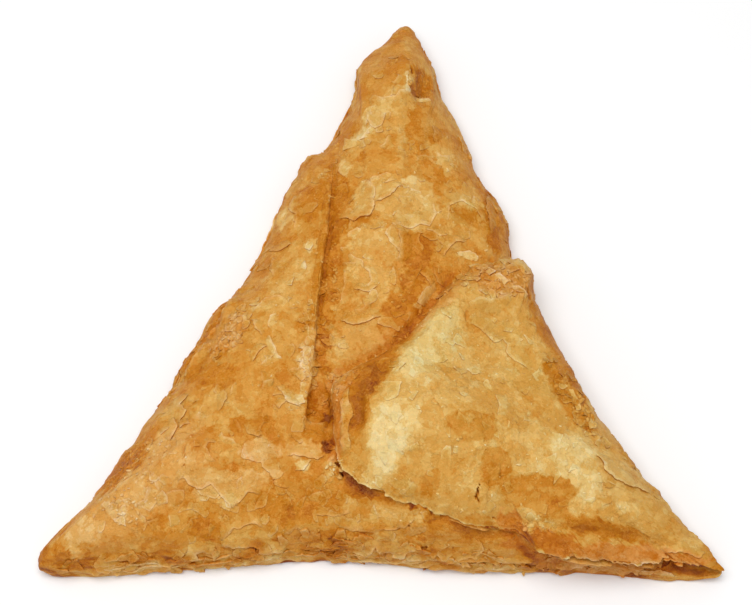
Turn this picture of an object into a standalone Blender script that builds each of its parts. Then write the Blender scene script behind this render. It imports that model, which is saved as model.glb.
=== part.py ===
"""A samosa: one triangular parcel of thin flaky pastry, lying flat.

The parcel is one solid. Its lower layer is a low puffed triangle with a left panel that
ends in a step, a pocket at the foot of that step and a broken spot near the apex. Over its
right half lies the last fold of the pastry strip, a puffed flap. The flap's lower edge
stands free above the front, and at the right tip the gap below it opens into a small mouth.

Lengths are in millimetres until write_mesh turns them into metres. +X runs to the right
along the front edge, +Y to the apex and +Z up. The origin is the centre of the footprint.
"""

import math

import bmesh
import bpy
import numpy as np

MM = 0.001

# Colour and finish of the baked crust
CRUST_COLOUR = (0.60, 0.33, 0.09, 1.0)
CRUST_ROUGHNESS = 0.6

# Fineness: pieces along each side of a layer, and rows of faces round its rim
PARCEL_PIECES = 54
FLAP_PIECES = 30
RIM_ROWS = 4
FOOT_ROWS = 3
CURVE_STEPS = 24

# The three tips, where the parcel's and the flap's outlines end
LEFT_TIP = (-62.6, -54.0)
APEX = (5.2, 57.2)
RIGHT_TIP = (62.6, -55.6)

# The parcel's outline at its widest level, one list of points for each side
PARCEL_SIDES = (
    # left side, from the left tip to the apex, with a step where the left panel ends
    (LEFT_TIP, (-60.4, -49.4), (-53.2, -42.0), (-46.2, -31.5), (-37.9, -17.3), (-33.2, -6.5),
     (-28.0, 0.3), (-23.4, 9.0), (-20.2, 17.0), (-14.6, 29.2), (-10.4, 31.6), (-6.3, 42.0),
     (-4.4, 50.0), (0.2, 55.4)),
    # right side, from the apex to the right tip, drawn in a little where the flap covers it
    (APEX, (9.4, 54.6), (11.4, 47.0), (13.4, 40.4), (17.4, 31.7), (20.4, 23.7), (23.8, 17.6),
     (25.2, 9.4), (27.0, -3.0), (33.8, -17.0), (41.6, -31.6), (52.2, -45.4), (58.6, -52.8)),
    # front, from the right tip to the left tip
    ((60.6, -55.8), (52.0, -56.0), (40.3, -55.4), (11.0, -54.4), (-7.3, -52.8),
     (-33.0, -54.4), (-58.0, -56.0)),
)
# Height of the widest level, and how far the shoulder and the foot lie inside it
PARCEL_WAIST = (4.5, 3.8, 1.2)
PARCEL_SHOULDER = (8.0, 8.0, 5.0)
PARCEL_FOOT = (2.6, 2.6, 0.5)
PARCEL_BLEND = 0.06
PARCEL_CENTRE = (0.8, -17.5)
PARCEL_REACH = 37.0

# The parcel's thickness
RIM_HEIGHT = 9.2
DOME_RISE = 6.6
DOME_REACH = 27.0
PANEL_STEP = 2.9
PANEL_EDGE_WIDTH = 2.6
PANEL_EDGE = ((-13.2, -32.0), (-11.6, -24.0), (-10.6, -14.0), (-9.2, 11.0), (-8.9, 27.0))
PANEL_FADE = (22.0, 34.0)
MOUTH_HEIGHT = 2.6
MOUTH_REACH = 34.0

# Puffs and hollows of the parcel: x, y, height, half length, half width, turn in degrees
PARCEL_PUFFS = (
    (-24.0, -14.0, 1.6, 13.0, 9.0, 60.0),   # left panel
    (-38.0, -38.0, 1.4, 13.0, 8.0, 35.0),   # lower left panel
    (0.5, 10.0, 2.2, 12.0, 6.5, 85.0),      # middle panel
    (4.0, 38.0, 1.4, 10.0, 5.0, 80.0),      # towards the apex
    (-10.6, -26.5, -4.2, 4.6, 1.9, 85.0),   # pocket
    (-7.6, 6.0, -1.3, 17.0, 1.5, 91.0),     # valley beside the panel's step
    (-0.5, -43.5, -3.6, 10.0, 6.0, -10.0),  # hollow below the flap's edge
    (8.6, 44.6, -2.6, 2.9, 2.2, 60.0),      # broken spot near the apex
    (21.0, -17.0, -5.0, 14.0, 11.0, 40.0),  # hollow inside the flap
)

# The flap's outline where its sheet ends, one list of points for each side
FLAP_SIDES = (
    # right side, from the top corner to the right tip
    ((25.6, 4.2), (29.4, 1.8), (29.7, -3.2), (32.6, -10.2), (36.2, -17.3), (44.0, -31.7),
     (54.6, -45.3), (60.8, -52.2)),
    # free lower edge, from the right tip to the lip
    (RIGHT_TIP, (60.0, -55.8), (50.5, -55.4), (43.0, -56.2), (32.1, -55.5), (26.8, -54.2),
     (24.1, -51.3), (16.9, -51.0), (8.9, -47.8), (0.9, -45.6)),
    # lip and rolled fold, from the lip's foot back to the top corner
    ((-6.0, -41.6), (-7.9, -37.6), (-8.7, -31.5), (-9.1, -25.4), (-5.8, -22.0), (-1.2, -19.4),
     (3.2, -16.2), (6.6, -12.2), (11.4, -5.4), (16.8, 0.0), (21.6, 3.0)),
)
# Heights of the flap's edge at points along it, from the top corner round to the lip
FLAP_EDGE_HEIGHTS = (
    (0.0, 8.0), (0.15, 7.0), (0.6, 6.4), (0.92, 4.8), (1.0, 4.2), (1.12, 6.4), (1.3, 9.4),
    (1.5, 12.0), (1.65, 14.4), (2.0, 17.2), (2.25, 18.0), (2.5, 16.6), (2.85, 14.5), (3.0, 8.0),
)
FLAP_SHOULDER = (7.0, 6.0, 4.5)
FLAP_BLEND = 0.2
FLAP_FOOT = (2.0, 3.6, 0.8)
FLAP_FOOT_HEIGHT = (1.8, 20.0, 7.0)
FLAP_CENTRE = (17.0, -33.5)
FLAP_REACH = 19.5
SHEET = 1.3
FLAP_PLUNGE = 0.5
FLAP_FLOOR = 1.6

# The flap's height: a sheet that falls to the right tip, with puffs on it
FLAP_LOW = 5.4
FLAP_RISE = 10.6
FLAP_RISE_REACH = 50.0
FLAP_PUFFS = (
    (9.0, -32.5, 9.6, 21.0, 12.5, -20.0),   # crown
    (11.0, -11.0, 4.2, 15.0, 6.5, 42.0),    # rolled fold
    (38.0, -42.0, 2.0, 11.0, 6.0, -38.0),   # towards the right tip
)


def smooth_step(value, low, high):
    """0 below low, 1 above high, with a smooth rise between them."""
    share = np.clip((value - low) / (high - low), 0.0, 1.0)
    return share * share * (3.0 - 2.0 * share)


def puff_sum(x, y, puffs):
    """The summed height of oval puffs and hollows at x, y."""
    total = np.zeros_like(x)
    for middle_x, middle_y, height, half_length, half_width, turn in puffs:
        angle = math.radians(turn)
        along = (x - middle_x) * math.cos(angle) + (y - middle_y) * math.sin(angle)
        across = (y - middle_y) * math.cos(angle) - (x - middle_x) * math.sin(angle)
        total += height * np.exp(-((along / half_length) ** 2 + (across / half_width) ** 2))
    return total


def smooth_loop(points, steps):
    """A closed curve through points, with steps pieces between each two of them."""
    points = np.array(points, float)
    before = np.roll(points, 1, axis=0)
    after = np.roll(points, -1, axis=0)
    beyond = np.roll(points, -2, axis=0)
    rows = []
    for step in range(steps):
        t = step / steps
        rows.append(0.5 * (2.0 * points + (after - before) * t
                           + (2.0 * before - 5.0 * points + 4.0 * after - beyond) * t ** 2
                           + (3.0 * points - before - 3.0 * after + beyond) * t ** 3))
    return np.stack(rows, axis=1).reshape(-1, 2)


def outline(sides, place):
    """Points of a closed outline at place, where 0, 1 and 2 are the starts of its sides."""
    curve = smooth_loop([point for side in sides for point in side], CURVE_STEPS)
    curve = np.vstack([curve, curve[:1]])
    starts = np.cumsum([0] + [len(side) * CURVE_STEPS for side in sides])
    result = np.zeros((len(place), 2))
    for number in range(len(sides)):
        part = curve[starts[number]:starts[number + 1] + 1]
        length = np.concatenate([[0.0], np.cumsum(np.linalg.norm(np.diff(part, axis=0), axis=1))])
        inside = (place >= number) & (place < number + 1)
        reached = (place[inside] - number) * length[-1]
        result[inside, 0] = np.interp(reached, length, part[:, 0])
        result[inside, 1] = np.interp(reached, length, part[:, 1])
    return result


def along_rim(values, place, blend):
    """One value for each side at place, blended over a share of the sides at each tip."""
    stops = []
    for number, value in enumerate(values):
        stops += [(number + blend, value), (number + 1.0 - blend, value)]
    stops = [(stops[-1][0] - 3.0, stops[-1][1])] + stops + [(3.0 + blend, values[0])]
    return np.interp(place, [stop[0] for stop in stops], [stop[1] for stop in stops])


def triangle_grid(pieces):
    """Rows of a triangular grid: each point's place round its ring and its ring, and the faces."""
    number = {}
    place = []
    ring = []
    for i in range(pieces + 1):
        for j in range(pieces + 1 - i):
            k = pieces - i - j
            depth = min(i, j, k)
            segments = pieces - 3 * depth
            if segments == 0:
                spot = 0.0
            elif k == depth and i > depth:
                spot = (j - depth) / segments
            elif i == depth and j > depth:
                spot = 1.0 + (k - depth) / segments
            else:
                spot = 2.0 + (i - depth) / segments
            number[i, j] = len(place)
            place.append(spot)
            ring.append(depth)
    faces = []
    for i in range(pieces):
        for j in range(pieces - i):
            faces.append((number[i, j], number[i + 1, j], number[i, j + 1]))
            if i + j < pieces - 1:
                faces.append((number[i + 1, j], number[i + 1, j + 1], number[i, j + 1]))
    return np.array(place), np.array(ring), faces


def inward(edge, centre, reach, inset):
    """Points of an outline moved towards centre by inset, which is reach at the centre."""
    return np.array(centre) + (edge - np.array(centre)) * (1.0 - inset / reach)[:, None]


def layer(sides, centre, reach, waist, shoulder, under_rows, height, pieces):
    """A closed puffed layer: its upper side, its rounded rim and its flat underside.

    At a place round the rim, waist gives its widest level and shoulder how far inside the
    rounding ends. height gives the upper side at x, y and an inset. Each of under_rows gives
    the inset and height of one row below the widest level, and the last is the underside's.
    """
    place, ring, faces = triangle_grid(pieces)
    depth = ring / (pieces // 3)
    edge = outline(sides, place)
    inset = shoulder(place) + (reach - shoulder(place)) * depth
    top = inward(edge, centre, reach, inset)
    vertices = [np.column_stack([top, height(top[:, 0], top[:, 1], inset)])]
    floor_inset, floor = under_rows[-1](place)
    bottom = inward(edge, centre, reach, floor_inset + (reach - floor_inset) * depth)
    vertices.append(np.column_stack([bottom, floor]))
    faces = faces + [(a + len(place), c + len(place), b + len(place)) for a, b, c in faces]

    loop = np.flatnonzero(ring == 0)
    loop = loop[np.argsort(place[loop])]
    rim = place[loop]
    rows = []
    for row in reversed(range(RIM_ROWS)):
        turn = math.pi / 2.0 * row / RIM_ROWS
        inset = shoulder(rim) * (1.0 - math.cos(turn))
        spot = inward(edge[loop], centre, reach, inset)
        level = height(spot[:, 0], spot[:, 1], inset)
        level = waist(rim) + (level - waist(rim)) * math.sin(turn)
        rows.append(np.column_stack([spot, level]))
    for under in under_rows[:-1]:
        inset, level = under(rim)
        rows.append(np.column_stack([inward(edge[loop], centre, reach, inset), level]))
    above = loop
    for number, row in enumerate(rows):
        below = 2 * len(place) + number * len(loop) + np.arange(len(loop))
        faces += band(above, below)
        above = below
    faces += band(above, loop + len(place))
    return np.vstack(vertices + rows), faces


def band(first, second):
    """Pairs of triangles between two closed rows of points."""
    faces = []
    for here in range(len(first)):
        after = (here + 1) % len(first)
        faces.append((first[here], first[after], second[here]))
        faces.append((second[here], first[after], second[after]))
    return faces


def parcel_height(x, y, inset):
    """The upper side of the folded parcel under the flap."""
    share = np.clip(inset / DOME_REACH, 0.0, 1.0)
    height = RIM_HEIGHT + DOME_RISE * (1.0 - (1.0 - share) ** 2)
    edge_x = np.interp(y, [row[1] for row in PANEL_EDGE], [row[0] for row in PANEL_EDGE])
    below_pocket = smooth_step(-y, -PANEL_EDGE[0][1] - 1.0, -PANEL_EDGE[0][1] + 3.0)
    left = 1.0 - smooth_step(x, edge_x - PANEL_EDGE_WIDTH, edge_x)
    panel = np.maximum(left, below_pocket) * (1.0 - smooth_step(y, *PANEL_FADE))
    height += PANEL_STEP * panel * smooth_step(inset, 2.0, 16.0)
    height += puff_sum(x, y, PARCEL_PUFFS)
    from_tip = np.hypot(x - RIGHT_TIP[0], y - RIGHT_TIP[1])
    open_share = smooth_step(from_tip, 0.0, MOUTH_REACH)
    return MOUTH_HEIGHT + (height - MOUTH_HEIGHT) * open_share


def flap_height(x, y, inset):
    """The upper side of the flap."""
    from_tip = np.hypot(x - RIGHT_TIP[0], y - RIGHT_TIP[1])
    share = np.clip(from_tip / FLAP_RISE_REACH, 0.0, 1.0)
    height = FLAP_LOW + FLAP_RISE * share * (2.0 - share)
    return height + puff_sum(x, y, FLAP_PUFFS)


def centre_shift():
    """How far the outlines lie from a footprint centred on the origin."""
    rim = np.arange(0.0, 3.0, 1.0 / CURVE_STEPS / 10.0)
    both = np.vstack([outline(PARCEL_SIDES, rim), outline(FLAP_SIDES, rim)])
    return (both.min(axis=0) + both.max(axis=0)) / 2.0


def write_mesh(name, vertices, faces, material):
    """An object from millimetre vertices, centred on the origin, with its faces pointing out."""
    vertices = vertices.copy()
    vertices[:, :2] -= centre_shift()
    mesh = bpy.data.meshes.new(name)
    mesh.from_pydata((vertices * MM).tolist(), [], [tuple(int(i) for i in f) for f in faces])
    work = bmesh.new()
    work.from_mesh(mesh)
    bmesh.ops.recalc_face_normals(work, faces=work.faces)
    work.to_mesh(mesh)
    work.free()
    mesh.materials.append(material)
    mesh.shade_smooth()
    obj = bpy.data.objects.new(name, mesh)
    bpy.context.scene.collection.objects.link(obj)
    return obj


def crust_material():
    """Baked crust."""
    material = bpy.data.materials.new("crust")
    material.use_nodes = True
    shader = material.node_tree.nodes["Principled BSDF"]
    shader.inputs["Base Color"].default_value = CRUST_COLOUR
    shader.inputs["Roughness"].default_value = CRUST_ROUGHNESS
    shader.inputs["Metallic"].default_value = 0.0
    return material


def parcel(material):
    """The folded parcel, flat below."""
    def waist(place):
        return along_rim(PARCEL_WAIST, place, PARCEL_BLEND)

    def shoulder(place):
        return along_rim(PARCEL_SHOULDER, place, PARCEL_BLEND)

    def foot_row(row):
        turn = math.pi / 2.0 * row / FOOT_ROWS
        return lambda place: (along_rim(PARCEL_FOOT, place, PARCEL_BLEND) * (1.0 - math.cos(turn)),
                              waist(place) * (1.0 - math.sin(turn)))

    rows = [foot_row(row) for row in range(1, FOOT_ROWS + 1)]
    vertices, faces = layer(PARCEL_SIDES, PARCEL_CENTRE, PARCEL_REACH, waist, shoulder, rows,
                            parcel_height, PARCEL_PIECES)
    return write_mesh("samosa", vertices, faces, material)


def flap(material):
    """The last fold, a puffed sheet whose underside sinks into the parcel."""
    def waist(place):
        return np.interp(place, [row[0] for row in FLAP_EDGE_HEIGHTS],
                         [row[1] for row in FLAP_EDGE_HEIGHTS])

    def shoulder(place):
        return along_rim(FLAP_SHOULDER, place, FLAP_BLEND)

    def sheet_edge(place):
        return 0.0 * place, waist(place) - SHEET

    def foot(place):
        level = np.minimum(along_rim(FLAP_FOOT_HEIGHT, place, FLAP_BLEND), waist(place) - SHEET)
        return along_rim(FLAP_FOOT, place, FLAP_BLEND), level

    def floor(place):
        return along_rim(FLAP_FOOT, place, FLAP_BLEND) + FLAP_PLUNGE, 0.0 * place + FLAP_FLOOR

    vertices, faces = layer(FLAP_SIDES, FLAP_CENTRE, FLAP_REACH, waist, shoulder,
                            [sheet_edge, foot, floor], flap_height, FLAP_PIECES)
    return write_mesh("flap", vertices, faces, material)


def join(base, added):
    """A union of two solids, kept as a modifier, with the second one left as its guide."""
    union = base.modifiers.new("folded over", "BOOLEAN")
    union.operation = "UNION"
    union.solver = "EXACT"
    union.object = added
    added.hide_render = True
    added.display_type = "WIRE"


def main():
    """The samosa, alone in its scene."""
    for obj in list(bpy.data.objects):
        bpy.data.objects.remove(obj)
    material = crust_material()
    join(parcel(material), flap(material))


main()
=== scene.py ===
import itertools
import math

import bmesh
import bpy
import numpy as np
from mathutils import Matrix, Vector
from mathutils.bvhtree import BVHTree
from mathutils.geometry import delaunay_2d_cdt


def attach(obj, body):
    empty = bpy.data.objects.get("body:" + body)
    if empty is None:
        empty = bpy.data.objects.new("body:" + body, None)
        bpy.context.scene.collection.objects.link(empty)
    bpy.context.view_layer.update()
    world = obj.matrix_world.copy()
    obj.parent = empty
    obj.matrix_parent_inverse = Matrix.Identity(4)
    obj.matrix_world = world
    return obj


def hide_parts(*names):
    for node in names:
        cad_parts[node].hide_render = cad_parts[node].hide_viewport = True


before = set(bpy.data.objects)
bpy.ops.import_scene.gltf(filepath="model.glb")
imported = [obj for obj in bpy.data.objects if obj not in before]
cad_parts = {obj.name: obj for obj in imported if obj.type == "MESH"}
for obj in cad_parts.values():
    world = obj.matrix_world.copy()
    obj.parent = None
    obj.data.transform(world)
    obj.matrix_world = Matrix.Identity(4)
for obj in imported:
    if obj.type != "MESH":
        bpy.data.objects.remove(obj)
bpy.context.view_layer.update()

# The looks of the samosa: a low parcel of flaky pastry with a puffed flap over its right half.
# Lengths here are millimetres in the frame's own axes, until new_mesh turns them into metres.
# +X runs to the right along the front edge, +Y to the apex and +Z up.
MM = 0.001

# --------------------------------------------------------------------------- shape

# Fineness of the two large pieces: pieces along each side, and rows of faces round the rim.
# Their undersides are COARSE times as coarse. CURVE_STEPS counts the pieces of a smooth curve
# between two of its points.
PARCEL_PIECES = 330
PARCEL_RIM_ROWS = 28
FLAP_PIECES = 300
FLAP_RIM_ROWS = 22
FOOT_ROWS = 5
COARSE = 3
CURVE_STEPS = 24
# Edges between faces that turn by more degrees are shaded sharp
SHARP_ANGLE = 60.0
# The flat layout: the underside's size and place beside the upper side, and its margin
UNDERSIDE_SCALE = 0.5
UNDERSIDE_SHIFT = (0.0, -150.0)
LAYOUT_MARGIN = 0.01

# Unevenness: the strength, size and seed of each noise that is summed
RAGGED_OUTLINE = ((0.28, 2.6, 6), (0.14, 1.0, 8))
FLAP_TEARS = ((0.5, 5.0, 3), (0.35, 1.6, 4))
FLAP_NICKS = ((0.35, 0.8, 5),)
PANEL_EDGE_WANDER = ((0.15, 3.5, 21), (0.08, 0.9, 22))
LINE_WOBBLE = ((0.35, 2.2, 31), (0.18, 0.8, 33))
PATCH_EDGES = ((0.8, 3.4, 41), (0.5, 1.5, 42), (0.35, 0.8, 43))
SURFACE_RELIEF = ((0.55, 13.0, 50), (0.275, 6.5, 51), (0.22, 4.0, 53), (0.07, 1.4, 55),
                  (0.035, 0.7, 56))
LAYER_EDGES = ((1.0, 1.6, 70), (0.5, 0.8, 71))
BAKE_DRIFT = ((0.08, 12.0, 80), (0.04, 6.0, 81))
LEAF_TEARS = ((1.0, 1.7, 0), (0.6, 0.6, 5))
UNDER_EDGES = ((0.3, 3.0, 60), (0.2, 0.9, 70))
UNDER_WAVES = ((0.3, 4.0, 80),)
# How many millimetres of noise one side of an outline passes through
RIM_SCALE = 75.0

# The three tips, where the parcel's and the flap's outlines end
LEFT_TIP = (-62.6, -54.0)
APEX = (5.6, 58.7)
RIGHT_TIP = (62.6, -55.6)

# The parcel's outline at its widest level, as the frame has it
PARCEL_SIDES = (
    # left side, from the left tip to the apex, with a step where the left panel ends
    (LEFT_TIP, (-60.1, -50), (-52.8, -42.2), (-46, -31), (-41.4, -24.2), (-38.6, -18.4),
     (-34, -9.6), (-32.2, -4.9), (-28.8, -2), (-24.4, 5.2), (-22.4, 9.8), (-20, 16.6),
     (-14.6, 27.6), (-10.7, 30), (-5.6, 41.6), (-4, 49.6), (1, 55.2)),
    # right side, from the apex to the right tip
    (APEX, (9.2, 54.4), (11.4, 49), (11.8, 46), (12.3, 43.2), (13.7, 39.4), (17.3, 31.8),
     (20.4, 23.7), (23.8, 17.6), (25.6, 8.6), (27, -3), (33.6, -17.2), (40.8, -31.6),
     (52.4, -45.4), (59.4, -52.7)),
    # front, from the right tip to the left tip
    ((62.5, -55.7), (57, -56.6), (50, -56.4), (40.3, -55.4), (11, -54.4), (-7.3, -52.8),
     (-33, -54.4), (-58, -56)),
)
# One number for each of its three sides: its widest level, how far in its rounding reaches
# and how far in its foot stands. They blend over a share of the sides at each tip.
PARCEL_WAIST = (4.5, 3.8, 1.2)
PARCEL_SHOULDER = (8.0, 8.0, 5.0)
PARCEL_FOOT = (2.6, 2.6, 0.5)
PARCEL_BLEND = 0.06
# The middle that its rings of faces shrink to, and the inset that they have there
PARCEL_CENTRE = (0.8, -17.5)
PARCEL_REACH = 37.0

# The parcel's thickness: at its rim, and how much a dome adds further in
RIM_HEIGHT = 9.2
DOME_RISE = 6.6
DOME_REACH = 27.0
# The left panel's right edge: its x by y, and how wide its slope is
PANEL_EDGE = ((-32.0, -13.2), (-24.0, -12.2), (-8.0, -11.4), (0.0, -10.7), (8.0, -9.9),
              (19.0, -9.2), (27.0, -8.9))
PANEL_EDGE_WIDTH = 0.9
# How far the panel stands above what lies to its right, by y
PANEL_STEPS = ((-40.0, 1.7), (-24.0, 1.2), (-14.0, 0.8), (-4.0, 0.6), (10.0, 0.5), (20.0, 0.5),
               (27.0, 0.0))
# The insets over which it rises, and how far in front of y = 0 the crust beside it joins it
PANEL_STEP_INSET = (2.0, 16.0)
BELOW_POCKET = (31.0, 35.0)
# The parcel thins to this height at the right tip
MOUTH_HEIGHT = 2.0
MOUTH_REACH = 34.0

# Puffs and hollows of the parcel: x, y, height, half length, half width, turn in degrees
PARCEL_PUFFS = (
    (-24.0, -14.0, 1.6, 13.0, 9.0, 60.0),   # left panel
    (-38.0, -38.0, 1.4, 13.0, 8.0, 35.0),   # lower left panel
    (0.5, 10.0, 2.2, 12.0, 6.5, 85.0),      # middle panel
    (4.0, 38.0, 1.4, 10.0, 5.0, 80.0),      # towards the apex
    (-10.9, -27.0, -1.6, 3.8, 1.7, 85.0),   # pocket
    (-8.2, 3.0, -0.6, 14.0, 1.3, 92.0),     # valley beside the panel's step
    (-4.0, -43.0, -0.5, 5.0, 3.0, -25.0),   # hollow below the lip
    (8.0, -46.5, 2.6, 14.0, 5.5, -12.0),    # front, under the flap's edge
    (8.3, 40.8, -3.2, 4.0, 2.0, 80.0),      # broken spot near the apex
    (21.0, -17.0, -5.0, 14.0, 11.0, 40.0),  # hollow inside the flap
)

# The flap's outline where its sheet ends
FLAP_SIDES = (
    # right side, from the top corner to the right tip
    ((25.4, 4.6), (28, 3.6), (29.5, 1.2), (29.6, -2.4), (32.4, -10.2), (35.8, -17.7),
     (37.6, -22.6), (42.6, -30), (46.4, -36), (54.6, -45.6), (60.6, -52.6)),
    # free lower edge, from the right tip to the lip
    (RIGHT_TIP, (60.2, -55.6), (57.4, -55.1), (54.2, -54.6), (51.6, -54.1), (50.5, -55.3),
     (47, -55.9), (43, -56.1), (32.1, -55.3), (28.6, -54.9), (26.8, -53.9), (24.8, -51.7),
     (22.8, -51), (16.9, -51), (8.9, -47.8), (0.9, -45.6)),
    # lip and rolled fold, from the lip's foot back to the top corner
    ((-6, -41.6), (-7.9, -37.6), (-8.7, -31.5), (-9.1, -25.4), (-5.8, -22), (-1.2, -19.4),
     (3.2, -16.2), (6.6, -12.2), (11.4, -5.4), (16.8, 0), (21.6, 3)),
)
# Heights of the flap's edge at points along it, from the top corner round to the lip
FLAP_EDGE_HEIGHTS = (
    (0, 8), (0.15, 7), (0.6, 6.4), (0.92, 4.8), (1, 4.2), (1.12, 6.4), (1.3, 9.4), (1.5, 12),
    (1.65, 14.4), (2, 17.2), (2.25, 18), (2.5, 16.6), (2.85, 14.5), (3, 8),
)
# Its rounding and its foot, as for the parcel, and the most that its foot is above the table
FLAP_SHOULDER = (7.0, 6.0, 4.5)
FLAP_BLEND = 0.2
FLAP_FOOT = (2.0, 3.6, 0.8)
FLAP_FOOT_HEIGHT = (1.8, 20.0, 7.0)
FLAP_CENTRE = (17.0, -33.5)
FLAP_REACH = 19.5
# Its outermost sheet: its thickness, and where round the outline its edge is free and torn
SHEET = 0.8
SHEET_EDGE_INSET = 0.1
TORN_FROM = (1.04, 1.12)
TORN_TO = (2.1, 2.3)
TORN_THINNESS = 0.8
# Its underside lies inside the parcel
FLAP_PLUNGE = 0.5
FLAP_FLOOR = 1.6
# Its height at the right tip, and how much and how far from there it rises
FLAP_LOW = 5.4
FLAP_RISE = 10.6
FLAP_RISE_REACH = 50.0
FLAP_PUFFS = (
    (9.0, -32.5, 9.6, 21.0, 12.5, -20.0),   # crown
    (11.0, -11.0, 4.2, 15.0, 6.5, 42.0),    # rolled fold
    (38.0, -42.0, 2.0, 11.0, 6.0, -38.0),   # towards the right tip
)

# Sheets that stand up from the crust: points of the free edge, with the sheet on the left of
# the way it runs, then how high it stands and how far back it joins the crust
SHEETS = (
    # towards the apex
    (((7.9, 37), (5.6, 38.4), (4, 38.4), (3.2, 37), (0.3, 37), (-1.8, 38.6)), 0.35, 4),
    (((-2.6, 35), (-2, 31), (-0.8, 29.8), (0.8, 31), (1.2, 34)), 0.25, 2.5),
    (((15.5, 30.5), (16.4, 26), (17.5, 22)), 0.3, 2.5),
    (((-9.4, 33), (-11.4, 29), (-12.4, 25), (-12, 22)), 0.3, 2.5),
    # middle panel: a ragged sheet, and a pale yellow one to its right
    (((-8.3, 10.8), (-6.6, 9.9), (-4.9, 8.9), (-3.5, 9.7), (-1.8, 9.7), (-1, 11.9), (-0.8, 15.3),
      (-1.8, 17.6), (-2.7, 18.7), (-4.1, 18.4)), 0.5, 4),
    (((3, 19.2), (1, 19.2), (-1.2, 18.8), (-1.9, 17.6), (-1.2, 13), (-1.4, 12.4)), 0.35, 3),
    (((-1.2, 12.6), (0.5, 12.8), (2.1, 13.9), (3.3, 15.9), (5, 16.7)), 0.3, 2.5),
    (((1.5, 8), (5.5, 7.4), (7.8, 8.6), (9.4, 8.2), (10.9, 11.4), (10.2, 14.8)), 0.12, 4),
    (((12.9, 9.6), (13.4, 13.6), (15.7, 15.3), (18.5, 13.9), (19.9, 11)), 0.1, 2.5),
    (((21, 20), (20.6, 15), (21.4, 9)), 0.3, 2), (((12, 2), (14, 5.5), (16.5, 6.4)), 0.3, 2.5),
    (((-6.8, -0.4), (-6.6, -4), (-7.4, -8)), 0.25, 2.5),
    (((3.4, 7.6), (4, 4), (3.2, 0.4)), 0.3, 3), (((-5, -4.8), (-2, -5.6), (0, -4.2)), 0.25, 2.5),
    (((7, -1), (8.6, -2), (9.4, -4.6)), 0.3, 2),
    (((-7.7, -11), (-4.7, -12.2), (-1.7, -11.3), (0.6, -10)), 0.35, 3.5),
    # left panel: its outer edge, over the layer below it, and small sheets on it
    (((-25.2, 1.2), (-27.6, -2), (-28.5, -5), (-30, -8), (-31.6, -10.6), (-34, -15),
      (-37.2, -20.4)), 1.1, 3),
    (((-17.5, -6.2), (-19.5, -5.8), (-21.5, -6), (-24, -9)), 0.4, 3.5),
    (((-24, -10.5), (-23, -13), (-21.5, -14.5)), 0.3, 2),
    (((-20.4, 4.6), (-20.8, 1.5), (-19.8, -1)), 0.3, 2.5),
    (((-21.5, 6.5), (-19, 5.4), (-16.6, 6.4)), 0.3, 2.5),
    (((-16.5, 18.4), (-17.4, 15), (-16, 12), (-16.4, 9)), 0.3, 2.5),
    (((-23.4, -20), (-22, -17.6), (-20.4, -16.8)), 0.25, 2),
    (((-19, -24.6), (-17, -27.4), (-14.2, -29)), 0.35, 2.5),
    (((-36.6, -30.6), (-35.4, -28.4), (-36.8, -26.4), (-35, -24.4)), 0.35, 3),
    (((-38, -34.8), (-36.8, -31.4), (-37.8, -29)), 0.35, 2.5),
    (((-9.4, -30.6), (-10.8, -31.5), (-12.6, -31.3), (-13.8, -30.2)), 0.35, 2),
    (((-5.3, -38.4), (-5.6, -35), (-4.9, -32), (-5.7, -29), (-5.4, -26)), 0.4, 2),
    # lower left and front
    (((-37, -43.3), (-35.3, -42.3), (-32.7, -44), (-30, -43), (-27.7, -45.7), (-26.3, -46.9),
      (-23.6, -44), (-20.6, -44.6)), 0.35, 4),
    (((-17, -37.8), (-14, -37.9), (-11, -38.8), (-9.4, -38)), 0.3, 2.5),
    (((-29, -51.6), (-26.4, -50.2), (-23, -49), (-20.6, -49.8)), 0.4, 3),
    (((-17.6, -50.4), (-14.7, -49.8), (-11, -50.8)), 0.4, 2.5),
    (((-8, -49), (-4, -50.2), (2, -50.3), (5, -50), (7, -48.7)), 0.5, 2.5),
    (((-12, -47.4), (-8.6, -48), (-5, -47.2)), 0.3, 2),
    # flap
    (((15.8, -12.8), (17.4, -13.2), (19, -14), (21, -16.4), (22.7, -15.2), (23.5, -16.3),
      (23, -18), (25.3, -20), (28, -21.7)), 0.1, 5),
    (((24.5, -6.2), (22.3, -7.3), (20.7, -7.8), (18.3, -8), (16, -9.4)), 0.35, 3),
    (((38.3, -37.3), (40, -39), (40.3, -40.7), (42, -42), (44, -42.7), (47.3, -43),
      (49.6, -43.2)), 0.55, 4),
    (((51.3, -53.2), (54.3, -53.3), (57.7, -54), (59.3, -52.7)), 0.4, 2),
    (((20.6, -27.4), (21.4, -30), (20.8, -32.6)), 0.12, 3),
)

# They are a little paler than the crust below
SHEET_CHANGE = -0.02

# The left panel's own free edge along the valley, in the same way, with its change of bake
PANEL_SHEET = (
    ((-12.5, -26.5), (-12.15, -23), (-11.35, -8), (-10.65, 0), (-9.85, 8), (-9.2, 19),
     (-8.9, 23), (-8.8, 27)), 0.14, 2.2, 0.1,
)

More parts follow.
